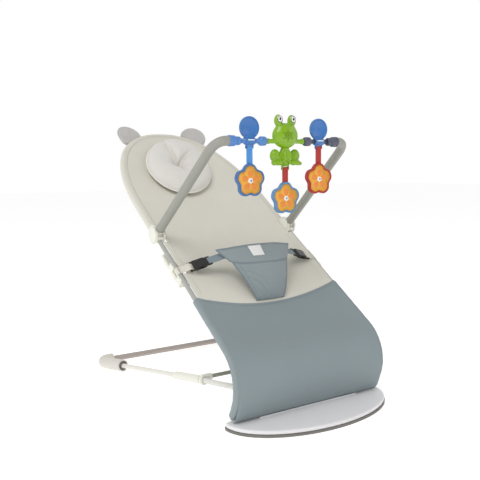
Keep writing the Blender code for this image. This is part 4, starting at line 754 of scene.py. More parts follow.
# White for the bead along the foot plate, and for the painted highlight strip on each disc clamp.
BEAD_AND_HIGHLIGHT = grainy("bead_white", (246, 247, 248), 0.35, 1500.0, 0.00005, slot="white_plastic")
BLACK = grainy("black_plastic", (38, 37, 36), 0.38, 1400.0, 0.00010, spread=0.08)
BLUE = grainy("blue_plastic", (58, 118, 188), 0.30, 1200.0, 0.00004, coat=0.25)
BLUE_PALE = grainy("blue_sleeve", (84, 136, 203), 0.34, 1200.0, 0.00005, slot="blue_plastic", coat=0.2)
DARK = grainy("dark_plastic", (84, 87, 108), 0.36, 1200.0, 0.00005, coat=0.15)
GREEN = grainy("frog_green", (132, 178, 12), 0.30, 900.0, 0.00004, coat=0.3)
# Dark green set inside the frog's face holes: painted shade in the holes.
SPEAKER_HOLE_SHADE = grainy("speaker_dark", (46, 74, 14), 0.60, 900.0, 0.00004, slot="frog_green")
EYE = grainy("eye_white", (246, 246, 242), 0.15, 600.0, 0.00002, coat=0.5, spread=0.01)
PUPIL = grainy("eye_black", (28, 26, 24), 0.18, 600.0, 0.00002, coat=0.5, slot="black_plastic")
STRAP_BLUE = grainy("blue_strap", (82, 152, 222), 0.50, 1200.0, 0.00008)
STRAP_RED = grainy("red_strap", (186, 52, 46), 0.50, 1200.0, 0.00008)
YELLOW = grainy("flower_yellow", (243, 176, 62), 0.42, 900.0, 0.00008)
PETAL = grainy("petal_orange", (238, 142, 62), 0.42, 900.0, 0.00008, slot="flower_yellow")
RIM_BLUE = grainy("rim_blue", (68, 112, 168), 0.38, 1100.0, 0.00005, slot="blue_plastic")
RIM_MIST = grainy("rim_blue_grey", (92, 140, 184), 0.38, 1100.0, 0.00005, slot="blue_plastic")
RIM_RED = grainy("rim_red", (176, 42, 38), 0.38, 1100.0, 0.00005, slot="red_strap")
HEART_WHITE = grainy("heart_white", (244, 242, 236), 0.35, 900.0, 0.00004, slot="white_plastic")

KEPT = {
    FRAME_WHITE: ["base_rail_left", "base_rail_right", "prop_leg_left", "prop_leg_right", "seat_arch"],
    SHADED_TUBE_GREY: ["seat_tube_left", "seat_tube_right"],
    FRAME_BEIGE: ["rear_bar"],
    OLIVE: ["prop_axle", "prop_top_bar"],
    STEEL: ["front_bar", "toy_rod"],
    ARM: ["toy_arm_left", "toy_arm_right"],
    RUBBER: ["foot_pad"],
    PALE_RUBBER: ["corner_foot_left", "corner_foot_right"],
    PLATE: ["foot_plate"],
    BLACK: ["buckle_housing_left", "buckle_housing_right", "buckle_plug_left", "buckle_plug_right"],
    WHITE_PLASTIC: [
        f"{piece}_{side}"
        for piece in ("hinge_block", "mid_sleeve", "recline_rack", "hub", "arm_socket")
        for side in SIDES
    ],
}
for (look, _), names in KEPT.items():
    for name in names:
        for slot in NODES[name].material_slots:
            slot.material = look


# The seat's surface


def smooth_step(value, low, high):
    """A share that eases from 0 at low to 1 at high."""
    share = min(1.0, max(0.0, (value - low) / (high - low)))
    return share * share * (3 - 2 * share)


def seat_path(t):
    """Y, Z and heading of the side tube's middle at a length from the hinge."""
    centre_y = KNEE_RADIUS * math.sin(FRONT_HEADING)
    centre_z = HINGE_HEIGHT - KNEE_RADIUS * math.cos(FRONT_HEADING)
    heading = FRONT_HEADING - min(max(t, 0.0), KNEE_LENGTH) / KNEE_RADIUS
    back = min(max(t - KNEE_LENGTH, 0.0), BACK_LENGTH)
    y = centre_y - KNEE_RADIUS * math.sin(heading) + back * math.cos(RECLINE)
    z = centre_z + KNEE_RADIUS * math.cos(heading) + back * math.sin(RECLINE)
    head = t - KNEE_LENGTH - BACK_LENGTH
    if head > 0:
        heading = RECLINE + head / HEAD_CURL_RADIUS
        y += HEAD_CURL_RADIUS * (math.sin(heading) - math.sin(RECLINE))
        z -= HEAD_CURL_RADIUS * (math.cos(heading) - math.cos(RECLINE))
    return y, z, heading


def seat_point(x, t, n=0.0):
    """The point at x across, t up the seat and n above the plane of its tubes."""
    y, z, heading = seat_path(t)
    return Vector((x, y - n * math.sin(heading), z + n * math.cos(heading)))


def seat_normal(t):
    """The direction square to the seat at a length."""
    heading = seat_path(t)[2]
    return Vector((0.0, -math.sin(heading), math.cos(heading)))


def half_width(t):
    """Half the seat's width at a length, to the middle of the tube."""
    rise = min(max((t - ARCH_START) / ARCH_LENGTH, 0.0), 1.0)
    return HALF_WIDTH * (1 - rise**SQUARENESS) ** (1 / SQUARENESS)


def sheet_n(x, t):
    """Height of the sling's middle surface above the frame's plane."""
    across = min(abs(x) / half_width(min(t, ARCH_TOP - ARCH_MARGIN)), 1.0)
    sag = SAG_SEAT - SAG_LESS_AT_BACK * smooth_step(t, *SAG_EASES)
    sag *= smooth_step(t, *SAG_FULL) * (1 - smooth_step(t, *SAG_ENDS))
    sag = SAG_FRONT * smooth_step(t, *SAG_BEGINS) + sag
    return SHEET_HEIGHT + HEM_LIFT * (1 - smooth_step(t, 0.0, HEM_LENGTH)) - sag * (1 - across**2)


def on_sheet(line, lift):
    """Points a lift above the sling, and the seat's normals there, for a line of x and t."""
    return [seat_point(x, t, sheet_n(x, t) + lift) for x, t in line], [seat_normal(t) for _, t in line]


def seam_t(x):
    """How far up the seat the seam between the covers lies."""
    return SEAM - SEAM_DIP * (1 - (x / HALF_WIDTH) ** 2)


def ripple(place, size):
    """Smooth unevenness of cloth, from -1 to 1, with bumps of about a size. The same on each run."""
    return noise.noise(Vector(place) / size)


def puckers(along, edge, depth=0.0011, length=0.011, reach=0.010):
    """Small gathers that stand square to a seam and die away from it."""
    return depth * math.exp(-edge / reach) * noise.noise(Vector((along / length, 4.2, 0.3)))


def arch_place(a, b):
    """X and t of a place on the head end, for a across from -1 to 1 and b up from 0 to 1."""
    round_x, round_y = a * math.sqrt(1 - b * b / 2), b * math.sqrt(1 - a * a / 2)
    radius = math.hypot(round_x, round_y)
    if radius < 1e-9:
        return 0.0, ARCH_START
    x, y = abs(round_x) / radius, abs(round_y) / radius
    reach = (x**SQUARENESS + y**SQUARENESS) ** (-1 / SQUARENESS)
    return HALF_WIDTH * round_x * reach, ARCH_START + ARCH_LENGTH * round_y * reach


def arch_line(start):
    """X and t along the arch, from a length on the left over the top to the same length on the right."""
    straight, steps = max(2, round((ARCH_START - start) / 0.008)), 96
    left = [(-HALF_WIDTH, start + (ARCH_START - start) * step / straight) for step in range(straight)]
    for step in range(steps + 1):
        angle = math.pi / 2 * step / steps
        width = HALF_WIDTH * math.cos(angle) ** (2 / SQUARENESS) if step < steps else 0.0
        left.append((-width, ARCH_START + ARCH_LENGTH * math.sin(angle) ** (2 / SQUARENESS)))
    return left + [(-x, t) for x, t in reversed(left[:-1])]


def along_arch(start, spacing, n=0.0, inset=0.0):
    """Even points on the arch, with the seat's normal at each, moved inwards by an inset."""
    points, ups = [], []
    for place, ahead in evenly([Vector((x, t, 0.0)) for x, t in arch_line(start)], spacing):
        spot = place + Vector((ahead.y, -ahead.x, 0.0)) * inset
        points.append(seat_point(spot.x, spot.y, n))
        ups.append(seat_normal(spot.y))
    return points, ups


def sleeve_of(name, points, ups, look, radius=SLEEVE_RADIUS, gather=0.5):
    """Cloth wrapped round a tube, with small gathers along it."""
    lengths = [0.0]
    for first, second in zip(points, points[1:]):
        lengths.append(lengths[-1] + (second - first).length)

    def profile(share):
        place = lengths[round(share * (len(points) - 1))] / GATHER_LENGTH
        outline = []
        for x, y in circle(1.0, 22):
            creased = gather * GATHER_DEPTH * noise.noise(Vector((place, 1.3 * x, 1.3 * y)))
            outline.append(((radius + creased) * x, (radius + creased) * y))
        return outline

    return dress(swept(name, points, profile, ups), look, "seat")


def cover_lines():
    """Rows of the cream sheet below the arch: a length, how far it follows the seam, and a half width."""
    lines = []
    for low, high, count, notched in (
        (COVER_START, STRAP_NOTCH[0], 16, False),
        (*STRAP_NOTCH, 8, True),
        (STRAP_NOTCH[1], HUB_NOTCH[0], 20, False),
        (*HUB_NOTCH, 12, True),
        (HUB_NOTCH[1], ARCH_START, 22, False),
    ):
        for step in range(count + 1):
            t = low + ROW_GAP + (high - low - 2 * ROW_GAP) * step / count
            widening = smooth_step(t, SLEEVE_START - 0.001, SLEEVE_START + 0.018)
            width = BARE_EDGE + (HALF_WIDTH - BARE_EDGE) * widening
            follow = max(0.0, 1 - (t - COVER_START) / (STRAP_NOTCH[0] - COVER_START))
            lines.append((t, follow, NOTCH_EDGE if notched else width))
    return lines


def upper_cover():
    """The cream sling: a sheet over the tubes with notches at straps and hubs, and a sleeve round the arch."""
    lines = cover_lines()
    columns, low_rows, high_rows = 84, len(lines) - 1, 60
    rows = low_rows + high_rows

    def spot(u, v):
        a = 2 * u - 1
        row = round(v * rows)
        if row <= low_rows:
            t, follow, width = lines[row]
            return a * width, t + follow * (seam_t(a * HALF_WIDTH) - SEAM), (1 - abs(a)) * width
        b = (row - low_rows) / high_rows
        x, t = arch_place(a, b)
        return x, t, (1 - max(abs(a), b)) * HALF_WIDTH

    def place(u, v):
        x, t, edge = spot(u, v)
        if t > ARCH_START:
            along = math.atan2(x, t - ARCH_START) * HALF_WIDTH * 1.25
        else:
            along = math.copysign(1.0, x) * (0.35 + ARCH_START - t)
        sleeved = smooth_step(t, SLEEVE_START, SLEEVE_START + 0.02)
        n = sheet_n(x, t) + puckers(along, edge) * smooth_step(edge, 0.0, PUCKER_FADE) * (0.4 + 0.6 * sleeved)
        n += EDGE_RISE * (1 - smooth_step(edge, *EDGE_FADE)) * sleeved
        n += 0.0006 * ripple((x, t, 0.0), 0.055) * min(1.0, edge / CALM_EDGE)
        n += (1 - sleeved) * EDGE_RISE * (1 - smooth_step(edge, 0.008, 0.0095))
        n -= 0.0008 * (1 - smooth_step(t - seam_t(x), 0.0, 0.003))
        return seat_point(x, t, n)

    cover = surface("cream_sling", columns, rows, place, lambda u, v: spot(u, v)[:2])
    thicken(dress(cover, CREAM, "seat", "upper_cover"), CREAM_THICKNESS)

    points, ups = along_arch(SLEEVE_START, 0.0035)
    sleeve = sleeve_of("cream_sleeve", points, ups, CREAM_EDGE)
    points, ups = along_arch(SLEEVE_START + 0.004, 0.003, SHEET_HEIGHT + 0.0011, 0.0085)
    top = stitches("cream_seam", points, ups, THREAD_CREAM, 0.0007)
    for word, side in SIDES.items():
        line = [(side * (NOTCH_EDGE - 0.006), t / 1000) for t in range(292, 500, 3)]
        stitches(f"cream_hem_{word}", *on_sheet(line, 0.0009), THREAD_CREAM)


def side_line(side, start, end, spacing=0.004):
    """Points of a side tube from under the seat's front corner up to a length, with the normals."""
    low = seat_point(side * HALF_WIDTH, CORNER_START)
    corner = Vector((side * HALF_WIDTH, 0.0, HINGE_HEIGHT))
    inner = corner - Vector((side * CORNER_INSET, 0.0, 0.0))
    line = [Vector((side * start, 0.0, HINGE_HEIGHT))]
    for step in range(17):
        share = step / 16
        spot = inner * (1 - share) ** 2 + corner * 2 * share * (1 - share) + low * share**2
        if abs(spot.x) > start + 0.001:
            line.append(spot)
    t = CORNER_START + spacing
    while t < end:
        line.append(seat_point(side * HALF_WIDTH, t))
        t += spacing
    line.append(seat_point(side * HALF_WIDTH, end))
    points = [place for place, _ in evenly(line, spacing)]
    ups = []
    for first, second in zip(points, points[1:] + points[-1:]):
        ahead = (second - first) if second is not first else points[-1] - points[-2]
        ups.append(Vector((side, 0.0, 0.0)) if abs(ahead.normalized().x) < 0.5 else UP)
    return points, ups


def corner_line(side):
    """The roll of cloth at a front corner: down past the corner of the tube, then in along the hinge line."""
    spots = [(CORNER_ROLL_X, t) for t in CORNER_ROLL_T]
    for step in range(1, 8):
        angle = math.pi / 2 * step / 8
        across = CORNER_ROLL_X - CORNER_ROLL_BEND * (1 - math.cos(angle))
        spots.append((across, 0.012 - CORNER_ROLL_BEND * math.sin(angle)))
    spots += [(x, 0.012 - CORNER_ROLL_BEND) for x in CORNER_ROLL_END]
    return [seat_point(side * x, t) for x, t in spots], [seat_normal(t) for _, t in spots]


def lower_cover():
    """The blue-grey front: a sheet over the knee, sleeved round both tubes and hemmed over the front bar."""

    def spot(u, v):
        x = (2 * u - 1) * HALF_WIDTH
        return x, v * (seam_t(x) + 0.0005)

    def place(u, v):
        x, t = spot(u, v)
        edge = (1 - abs(2 * u - 1)) * HALF_WIDTH
        n = sheet_n(x, t) + 0.0004 * ripple((x, t, 3.0), 0.06) * min(1.0, edge / CALM_EDGE)
        n += puckers(t + (0.4 if x > 0 else 0.0), edge, 0.0005, 0.014) * smooth_step(edge, 0.0, PUCKER_FADE)
        n += EDGE_RISE * (1 - smooth_step(edge, *EDGE_FADE))
        n += 0.0010 * (1 - smooth_step(t, FRONT_HEM, FRONT_HEM + 0.0015))
        n += 0.0006 * smooth_step(t - seam_t(x), -0.009, -0.0075)
        return seat_point(x, t, n)

    cover = surface("blue_grey_front", 80, 96, place, spot)
    thicken(dress(cover, BLUE_GREY, "seat", "lower_cover"), BLUE_GREY_THICKNESS)

    for word, side in SIDES.items():
        sleeve_of(f"front_sleeve_{word}", *side_line(side, LOWER_SLEEVE_X, SEAM), BLUE_GREY_PAD)
        roll = sleeve_of(f"corner_roll_{word}", *corner_line(side), BLUE_GREY_PAD, CORNER_ROLL, 0.3)
    line = [Vector((x / 1000, 0.0, HINGE_HEIGHT)) for x in range(-121, 122, 11)]
    hem = sleeve_of("front_hem_roll", line, [UP] * len(line), BLUE_GREY_PAD, HEM_ROLL)
    xs = [HALF_WIDTH * step / 60 for step in range(-59, 60)]
    seam = [(x, seam_t(x) - 0.0055) for x in xs]
    stitches("seam_stitches", *on_sheet(seam, 0.0015), THREAD_BLUE)
    front = [(x, FRONT_HEM - 0.0022) for x in xs]
    stitches("front_hem_stitches", *on_sheet(front, 0.0015), THREAD_BLUE)


def ears():
    """Two padded fleece ears, sewn into the arch's sleeve."""
    share = (EAR_X / HALF_WIDTH) ** SQUARENESS
    t = ARCH_START + ARCH_LENGTH * (1 - share) ** (1 / SQUARENESS)
    slope_x = EAR_X ** (SQUARENESS - 1) / HALF_WIDTH**SQUARENESS
    slope_t = ((t - ARCH_START) / ARCH_LENGTH) ** (SQUARENESS - 1) / ARCH_LENGTH
    length = math.hypot(slope_x, slope_t)
    heading = seat_path(t)[2]
    normal = seat_normal(t)
    base_angle = math.acos(0.55 * EAR_OUT / EAR_RADIUS)
    for word, side in SIDES.items():
        outward = Vector((side * slope_x, slope_t * math.cos(heading), slope_t * math.sin(heading))) / length
        across = outward.cross(normal)
        away = outward * math.cos(EAR_TILT) + normal * math.sin(EAR_TILT)
        front = across.cross(away)
        root = seat_point(side * EAR_X, t)

        def place(u, v):
            angle = math.pi / 2 + (math.pi - base_angle) * (2 * u - 1)
            rim = Vector((EAR_RADIUS * math.cos(angle), EAR_OUT + EAR_RADIUS * math.sin(angle)))
            spot = Vector((rim.x * 0.9, 0.0035)).lerp(rim, v)
            bend = 0.0015 * math.sin(math.pi * v) * ripple((side * u * 2, v * 2, 1.0), 1.0)
            return root + across * spot.x + away * spot.y + front * bend

        ear, border = pad(f"fleece_ear_{word}", 40, 18, place, EAR_THICKNESS, 6.0)
        dress(ear, EAR, "seat", f"ear_{word}")
        inflate(ear, border, 1.5, 0.002)
        subdivided(ear)
        rim = [place(step / 60, 1.0) for step in range(61)]
        dress(round_cord(f"ear_seam_{word}", rim, EAR_SEAM_RADIUS, [front] * 61), EAR, "seat")


def pillow_spot(share, angle):
    """X and t on the pillow, from the dimple at share 0 to the piped edge at share 1."""
    across, along = PILLOW_HALF[0] * share * math.cos(angle), PILLOW_HALF[1] * share * math.sin(angle)
    x = PILLOW_X + across * math.cos(PILLOW_TURN) - along * math.sin(PILLOW_TURN)
    t = PILLOW_T + across * math.sin(PILLOW_TURN) + along * math.cos(PILLOW_TURN)
    return x + (DIMPLE[0] - PILLOW_X) * (1 - share), t + (DIMPLE[1] - PILLOW_T) * (1 - share)


def tuck_depth(x, t, width):
    """How deep a place lies in the nearest tuck, from 0 to 1."""
    deepest = 0.0
    for curve in TUCKS:
        for step in range(25):
            share = step / 24
            low, middle, high = (1 - share) ** 2, 2 * share * (1 - share), share**2
            gap_x = x - low * curve[0][0] - middle * curve[1][0] - high * curve[2][0]
            gap_t = t - low * curve[0][1] - middle * curve[1][1] - high * curve[2][1]
            near = math.exp(-((gap_x**2 + gap_t**2) / width**2)) * (1 - 0.75 * share)
            deepest = max(deepest, near)
    return deepest


def pillow():
    """A round head pillow: a soft roll round a dimple, three tucks that run out of it, and a piped edge."""
    rings, around = 34, 120
    corners, held, layers = [], [], []
    for top, order in ((True, range(rings + 1)), (False, range(rings - 1, -1, -1))):
        for ring in order:
            share = math.sin(math.pi / 2 * ring / rings)
            layers.append([])
            for step in range(around if ring else 1):
                x, t = pillow_spot(share, 2 * math.pi * step / around)
                crown = (1 - share**4.0) ** 0.5 if share < 1 else 0.0
                gap = math.hypot(x - DIMPLE[0], t - DIMPLE[1])
                if top:
                    low = max(0.84 * math.exp(-((gap / DIMPLE_WIDTH) ** 2)), 0.56 * tuck_depth(x, t, 0.013))
                    height = PILLOW_RIM + (PILLOW_CROWN - PILLOW_RIM) * crown * (1 - low)
                else:
                    height = PILLOW_RIM * (1 - crown) * 0.9
                if not top or ring == rings or gap < 0.006:
                    held.append(len(corners))
                layers[-1].append(len(corners))
                corners.append(seat_point(x, t, sheet_n(x, t) + 0.0016 + height))
    faces = []
    for first, second in zip(layers, layers[1:]):
        faces += [(face[0], *reversed(face[1:])) for face in ring_faces(first, second)]
    cushion = dress(from_faces("round_pillow", corners, faces), PILLOW, "seat", "head_pillow")
    inflate(cushion, held, 4.0, 0.006)
    baked(subdivided(cushion))
    crease(cushion)
    subdivided(cushion)
    edge = [Vector(corners[corner]) for corner in layers[rings]]
    piping = round_cord("pillow_piping", edge, PIPING_RADIUS, [seat_normal(PILLOW_T)] * len(edge), cyclic=True)
    dress(piping, PIPING, "seat")


def crease(cushion):
    """Press sharp tucks and small gathers beside the piping into the top of the pillow."""
    normals = [Vector(corner.normal) for corner in cushion.data.vertices]
    up = seat_normal(PILLOW_T)
    origin = seat_point(0.0, PILLOW_T)
    ahead = Vector((0.0, math.cos(RECLINE), math.sin(RECLINE)))
    for corner, normal in zip(cushion.data.vertices, normals):
        if normal.dot(up) < 0.0:
            continue
        x, t = corner.co.x, PILLOW_T + (corner.co - origin).dot(ahead)
        depth = TUCK_DEPTH * tuck_depth(x, t, 0.0042)
        turn_x, turn_t = (x - PILLOW_X) / PILLOW_HALF[0], (t - PILLOW_T) / PILLOW_HALF[1]
        edge = max(0.0, 1 - math.hypot(turn_x, turn_t))
        around = math.atan2(turn_t, turn_x) * 0.1
        pinch = 0.5 + 0.5 * noise.noise(Vector((around / 0.011, 0.7, 2.1)))
        depth += PINCH_DEPTH * math.exp(-edge / 0.12) * pinch
        depth += 0.0011 * ripple((x, t, 5.0), 0.020)
        corner.co -= normal * depth


# Harness


def band_place(u, v):
    """The middle of the waistband's thickness, for u across and v up from 0 to 1."""
    side = 2 * u - 1
    away = abs(side)
    slope = math.tan(BUCKLE_TILT)
    end_n = BUCKLE_N + slope * (BUCKLE_X - BAND_X) + BAND_END_LIFT
    rise = BAND_TOP_N - end_n
    sloping = slope * BAND_X / (2 * rise)
    share = (1 - sloping) * (1 - away**BAND_FULLNESS) ** 2 + sloping * (1 - away**2)
    tilt = BAND_TILT + (BAND_END_TILT - BAND_TILT) * away**3
    up = (2 * v - 1) * (BAND_HALF - BAND_TAPER * away**3)
    t = BAND_T_MIDDLE + (BAND_T_END - BAND_T_MIDDLE) * away**2 + up * math.cos(tilt)
    x = side * (BAND_X + (2 * v - 1) * BAND_FLARE)
    return seat_point(x, t, end_n + rise * share + up * math.sin(tilt))


def crotch_place(u, v):
    """The middle of the crotch panel's thickness, from its foot on the sling up to the waistband."""
    side = 2 * u - 1
    foot_x = side * CROTCH_HALF_FOOT
    foot = seat_point(foot_x, CROTCH_FOOT_T, sheet_n(foot_x, CROTCH_FOOT_T) + CROTCH_FOOT_LIFT)
    band_u = 0.5 + 0.5 * side * CROTCH_HALF_TOP / (BAND_X - BAND_FLARE)
    hem = band_place(band_u, 0.0)
    top = hem + (hem - band_place(band_u, 0.5)).normalized() * CROTCH_TO_BAND
    away = seat_normal(CROTCH_FOOT_T)
    along = Vector((0.0, away.z, -away.y))
    reach = top - foot
    spot = foot + along * reach.dot(along) * v**CROTCH_RISE + away * reach.dot(away) * v
    return spot + Vector((reach.x * v**CROTCH_LEG_CURVE, 0.0, 0.0))


def along_place(place, path, lift=0.0):
    """Points a lift above a (u, v) path on a surface, and the normals there."""
    ups = [surface_normal(place, u, v) for u, v in path]
    return [place(u, v) + up * lift for (u, v), up in zip(path, ups)], ups


def span(start, end, steps=48):
    """Steps from one (u, v) to another."""
    return [
        (start[0] + (end[0] - start[0]) * step / steps, start[1] + (end[1] - start[1]) * step / steps)
        for step in range(steps + 1)
    ]


def wrinkled(item, place, folds, depth, width):
    """Press soft folds into a padded piece."""
    lines = []
    for start, end, strength in folds:
        spots = [place(*spot) for spot in span(start, end, 24)]
        weights = [strength * math.sin(math.pi * (step + 0.8) / 25.6) for step in range(len(spots))]
        lines.append(list(zip(spots, weights)))
    normals = [Vector(corner.normal) for corner in item.data.vertices]
    for corner, normal in zip(item.data.vertices, normals):
        shift = 0.0
        for line in lines:
            gap, strength = min(((corner.co - spot).length, weight) for spot, weight in line)
            near = math.exp(-((gap / width) ** 2))
            beside = math.exp(-(((gap - 1.9 * width) / width) ** 2))
            shift += strength * (0.45 * beside - near)
        corner.co += normal * depth * max(-1.0, min(0.6, shift))


def padded_piece(name, node, grid, place, thickness, cap, folds, depth, width):
    """A padded piece of the harness: stuffed, pressed into folds and smoothed."""
    piece, border = pad(name, *grid, place, thickness, 10.0)
    dress(piece, BLUE_GREY_PAD, "seat", node)
    inflate(piece, border, 2.2, cap)
    wrinkled(piece, place, folds, depth, width)
    subdivided(piece)
    return piece


def harness():
    """The padded waistband and the crotch panel, bound along their edges, and the bare label."""
    band = padded_piece(
        "padded_waistband", "waistband", (90, 22), band_place, BAND_THICKNESS, 0.003,
        BAND_FOLDS, 0.0028, 0.0026,
    )
    path = span((0, 0), (1, 0), 80) + span((1, 0), (1, 1), 12)[1:]
    path += span((1, 1), (0, 1), 80)[1:] + span((0, 1), (0, 0), 12)[1:-1]
    points, ups = along_place(band_place, path)
    dress(round_cord("waistband_binding", points, BAND_BINDING, ups, cyclic=True), BLUE_GREY_EDGE, "seat")
    seam = along_place(band_place, span((0.04, 0.91), (0.96, 0.91), 70), 0.0029)
    stitches("waistband_seam", *seam, THREAD_BLUE)

    padded_piece(
        "padded_crotch_panel", "crotch_panel", (56, 44), crotch_place, CROTCH_THICKNESS, 0.004,
        PANEL_FOLDS, 0.0034, 0.0028,
    )
    for word, path in (
        ("left", span((0, 0), (0, 1))),
        ("right", span((1, 0), (1, 1))),
        ("top", span((0, 1), (1, 1))),
        ("foot", span((0, 0), (1, 0))),
    ):
        points, ups = along_place(crotch_place, path)
        dress(round_cord(f"crotch_binding_{word}", points, CROTCH_BINDING, ups), BLUE_GREY_EDGE, "seat")
    for word, u in (("left", 0.07), ("right", 0.93)):
        seam = along_place(crotch_place, span((u, 0.03), (u, 0.97)), 0.0030)
        stitches(f"crotch_seam_{word}", *seam, THREAD_BLUE)

    def label_place(u, v):
        spot = (LABEL_ACROSS[0] + LABEL_ACROSS[1] * u, LABEL_UP[0] + LABEL_UP[1] * v)
        return band_place(*spot) + surface_normal(band_place, *spot) * 0.0044

    label = surface("waistband_label", 24, 16, label_place)
    thicken(dress(label, LABEL, "seat"), LABEL_THICKNESS)


def buckle_frame(side):
    """A buckle's own axes: u towards the belly, v along the seat, w up off the sling."""
    normal = seat_normal(BUCKLE_T)
    inward = Vector((-side, 0.0, 0.0))
    u = inward * math.cos(BUCKLE_TILT) + normal * math.sin(BUCKLE_TILT)
    w = normal * math.cos(BUCKLE_TILT) - inward * math.sin(BUCKLE_TILT)
    turn = Matrix((u, w.cross(u), w)).transposed().to_4x4()
    return Matrix.Translation(seat_point(side * BUCKLE_X, BUCKLE_T, BUCKLE_N)) @ turn


def webbing():
    """Webbing from the side tubes to the buckles, and the plugs' tails that run under the waistband."""
    radius = TUBE_RADIUS + STRAP_ROUND_TUBE
    for word, side in SIDES.items():
        axes = buckle_frame(side)
        tube = axes.inverted() @ seat_point(side * HALF_WIDTH, BUCKLE_T)
        path = []
        for step in range(30):
            angle = math.radians(STRAP_LEAVES - STRAP_TURN + STRAP_TURN * step / 29)
            path.append((tube.x + radius * math.cos(angle), tube.z + radius * math.sin(angle)))
        points = [axes @ Vector((u, 0.0, w)) for u, w in (*path, *STRAP_THROUGH_BUCKLE)]
        across = (axes.to_3x3() @ Vector((0, 1, 0))).normalized()
        ups = []
        for index in range(len(points)):
            ahead = points[min(index + 1, len(points) - 1)] - points[max(index - 1, 0)]
            ups.append(ahead.cross(across).normalized())
        strap = webbing_along(f"strap_webbing_{word}", points, ups)
        dress(strap, CREAM_WEB, "seat", f"side_strap_{word}")

        start, end = PLUG_WEB
        tail = [(start + (end - start) * step / 24, 0.00025 * math.sin(step / 3.0)) for step in range(25)]
        points = [axes @ Vector((u, 0.0, w)) for u, w in tail]
        up = (axes.to_3x3() @ UP).normalized()
        web = webbing_along(f"plug_strap_{word}", points, [up] * len(points))
        dress(web, BLUE_GREY_WEB, f"plug_{word}", f"plug_webbing_{word}")


# Toys


def merged(name, items):
    """Several closed pieces as one object."""
    whole = bmesh.new()
    for item in items:
        bpy.context.view_layer.update()
        copy = evaluated(item).to_mesh()
        copy.transform(item.matrix_world)
        whole.from_mesh(copy)
    for item in items:
        bpy.data.objects.remove(item, do_unlink=True)
    made = from_shape(name, whole)
    made.data.set_sharp_from_angle(angle=math.radians(50))
    return made


def block(name, size, place, edge, segments=3):
    """A box with rounded edges."""
    shape = bmesh.new()
    bmesh.ops.create_cube(shape, size=1.0)
    bmesh.ops.scale(shape, verts=shape.verts, vec=size)
    bmesh.ops.bevel(shape, geom=shape.edges, offset=edge, segments=segments, profile=0.5, affect="EDGES")
    bmesh.ops.translate(shape, verts=shape.verts, vec=place)
    return from_shape(name, shape)


def bar_fittings():
    """The end caps and the knobbed sleeves on the toy rod."""
    for word, side in SIDES.items():
        look = BLUE_PALE if side < 0 else DARK
        for name, node, profile, x in (
            ("bar_cap", "end_cap", CAP, ARM_END_X - CAP_LENGTH),
            ("bar_sleeve", "toy_sleeve", SLEEVE, SLEEVE_X),
        ):
            fitting = turned(f"{name}_{word}", profile, BAR + Vector((side * x, 0, 0)), (side, 0, 0))
            dress(fitting, look, "toy_bar", f"{node}_{word}")


def lugs(x, z, drop):
    """Two lugs and a cross pin that a strap hangs on."""
    made = []
    for side in SIDES.values():
        place = BAR + Vector((x + side * (LUG_X + LUG_THICKNESS / 2), 0.0, z - drop / 2 - 0.0008))
        made.append(block("lug", (LUG_THICKNESS, LUG_DEPTH, drop + 0.0034), place, 0.0006, 2))
    reach = Vector((LUG_X + LUG_THICKNESS, 0, 0))
    middle = BAR + Vector((x, 0.0, z - drop))
    made.append(round_cord("pin", [middle - reach, middle + reach], PIN_RADIUS, sides=20))
    return made


def discs():
    """Blue discs with a raised rim, each on a clamp round its sleeve, with a white strip on the clamp that is a
    painted highlight.
    """
    radius, half = DISC_RADIUS, DISC_HALF
    profile = [(0.0, half - 0.0020), (radius - 0.0036, half - 0.0020), (radius - 0.0031, half - 0.0016)]
    profile += [(radius - 0.0026, half - 0.0002), (radius - 0.0020, half), (radius - 0.0008, half)]
    profile += [(radius - 0.0002, half - 0.0003), (radius, half - 0.0009)]
    profile += [(across, -up) for across, up in reversed(profile)]
    for word, side in SIDES.items():
        x = side * DISC_X
        middle = BAR + Vector((x, 0.0, 0.0))
        face = turned("disc", profile, middle + Vector((0, 0, DISC_HEIGHT)), (0, 1, 0), 64)
        ring = turned("clamp", CLAMP, middle, (1, 0, 0), 40)
        neck = block("neck", (0.0150, 0.0056, 0.0060), middle + Vector((0, 0, 0.0085)), 0.0012)
        bridge = block("bridge", (0.0130, 0.0050, 0.0040), middle + Vector((0, 0, -0.0063)), 0.0006, 2)
        whole = merged(f"disc_toy_{word}", [face, ring, neck, bridge, *lugs(x, 0.0, SIDE_PIN_DROP)])
        dress(whole, BLUE, f"disc_{word}", f"toy_disc_{word}")
        # A white strip on the front of the clamp: a painted highlight.
        place = middle + Vector((0, -0.0073, 0.0018))
        strip = block(f"disc_highlight_strip_{word}", (0.0150, 0.0012, 0.0022), place, 0.0004, 2)
        dress(strip, BEAD_AND_HIGHLIGHT, f"disc_{word}")


def strap_toy(word, x, drop, length, look, body):
    """A flexible strap with thick edges, from a loop on its pin down into the flower."""
    pin = BAR + Vector((x, 0.0, -drop))
    half, web, rib = STRAP_HALF, STRAP_WEB, STRAP_RIB
    edge, groove = half - 0.0016, half - 0.0022
    outline = [(half, -rib), (half, rib), (edge, rib), (groove, web), (0.0008, web)]
    outline += [(0.0, web * 0.55), (-0.0008, web), (-groove, web), (-edge, rib), (-half, rib), (-half, -rib)]
    outline += [(-edge, -rib), (-groove, -web), (-0.0008, -web), (0.0, -web * 0.55), (0.0008, -web)]
    outline += [(groove, -web), (edge, -rib)]
    reach = length + STRAP_GRIP - STRAP_EYE
    points = [pin - Vector((0, 0, STRAP_EYE + reach * step / 12)) for step in range(13)]
    strap = swept("strap", points, lambda share: outline, [Vector((0, -1, 0))] * 13)
    loop = [(0.0034, half), (0.0034, -half), (0.0021, -half), (0.0021, half)]
    eye = turned("loop", loop, pin, (1, 0, 0), 32)
    dress(merged(f"toy_strap_{word}", [strap, eye]), look, body, f"strap_{word}")


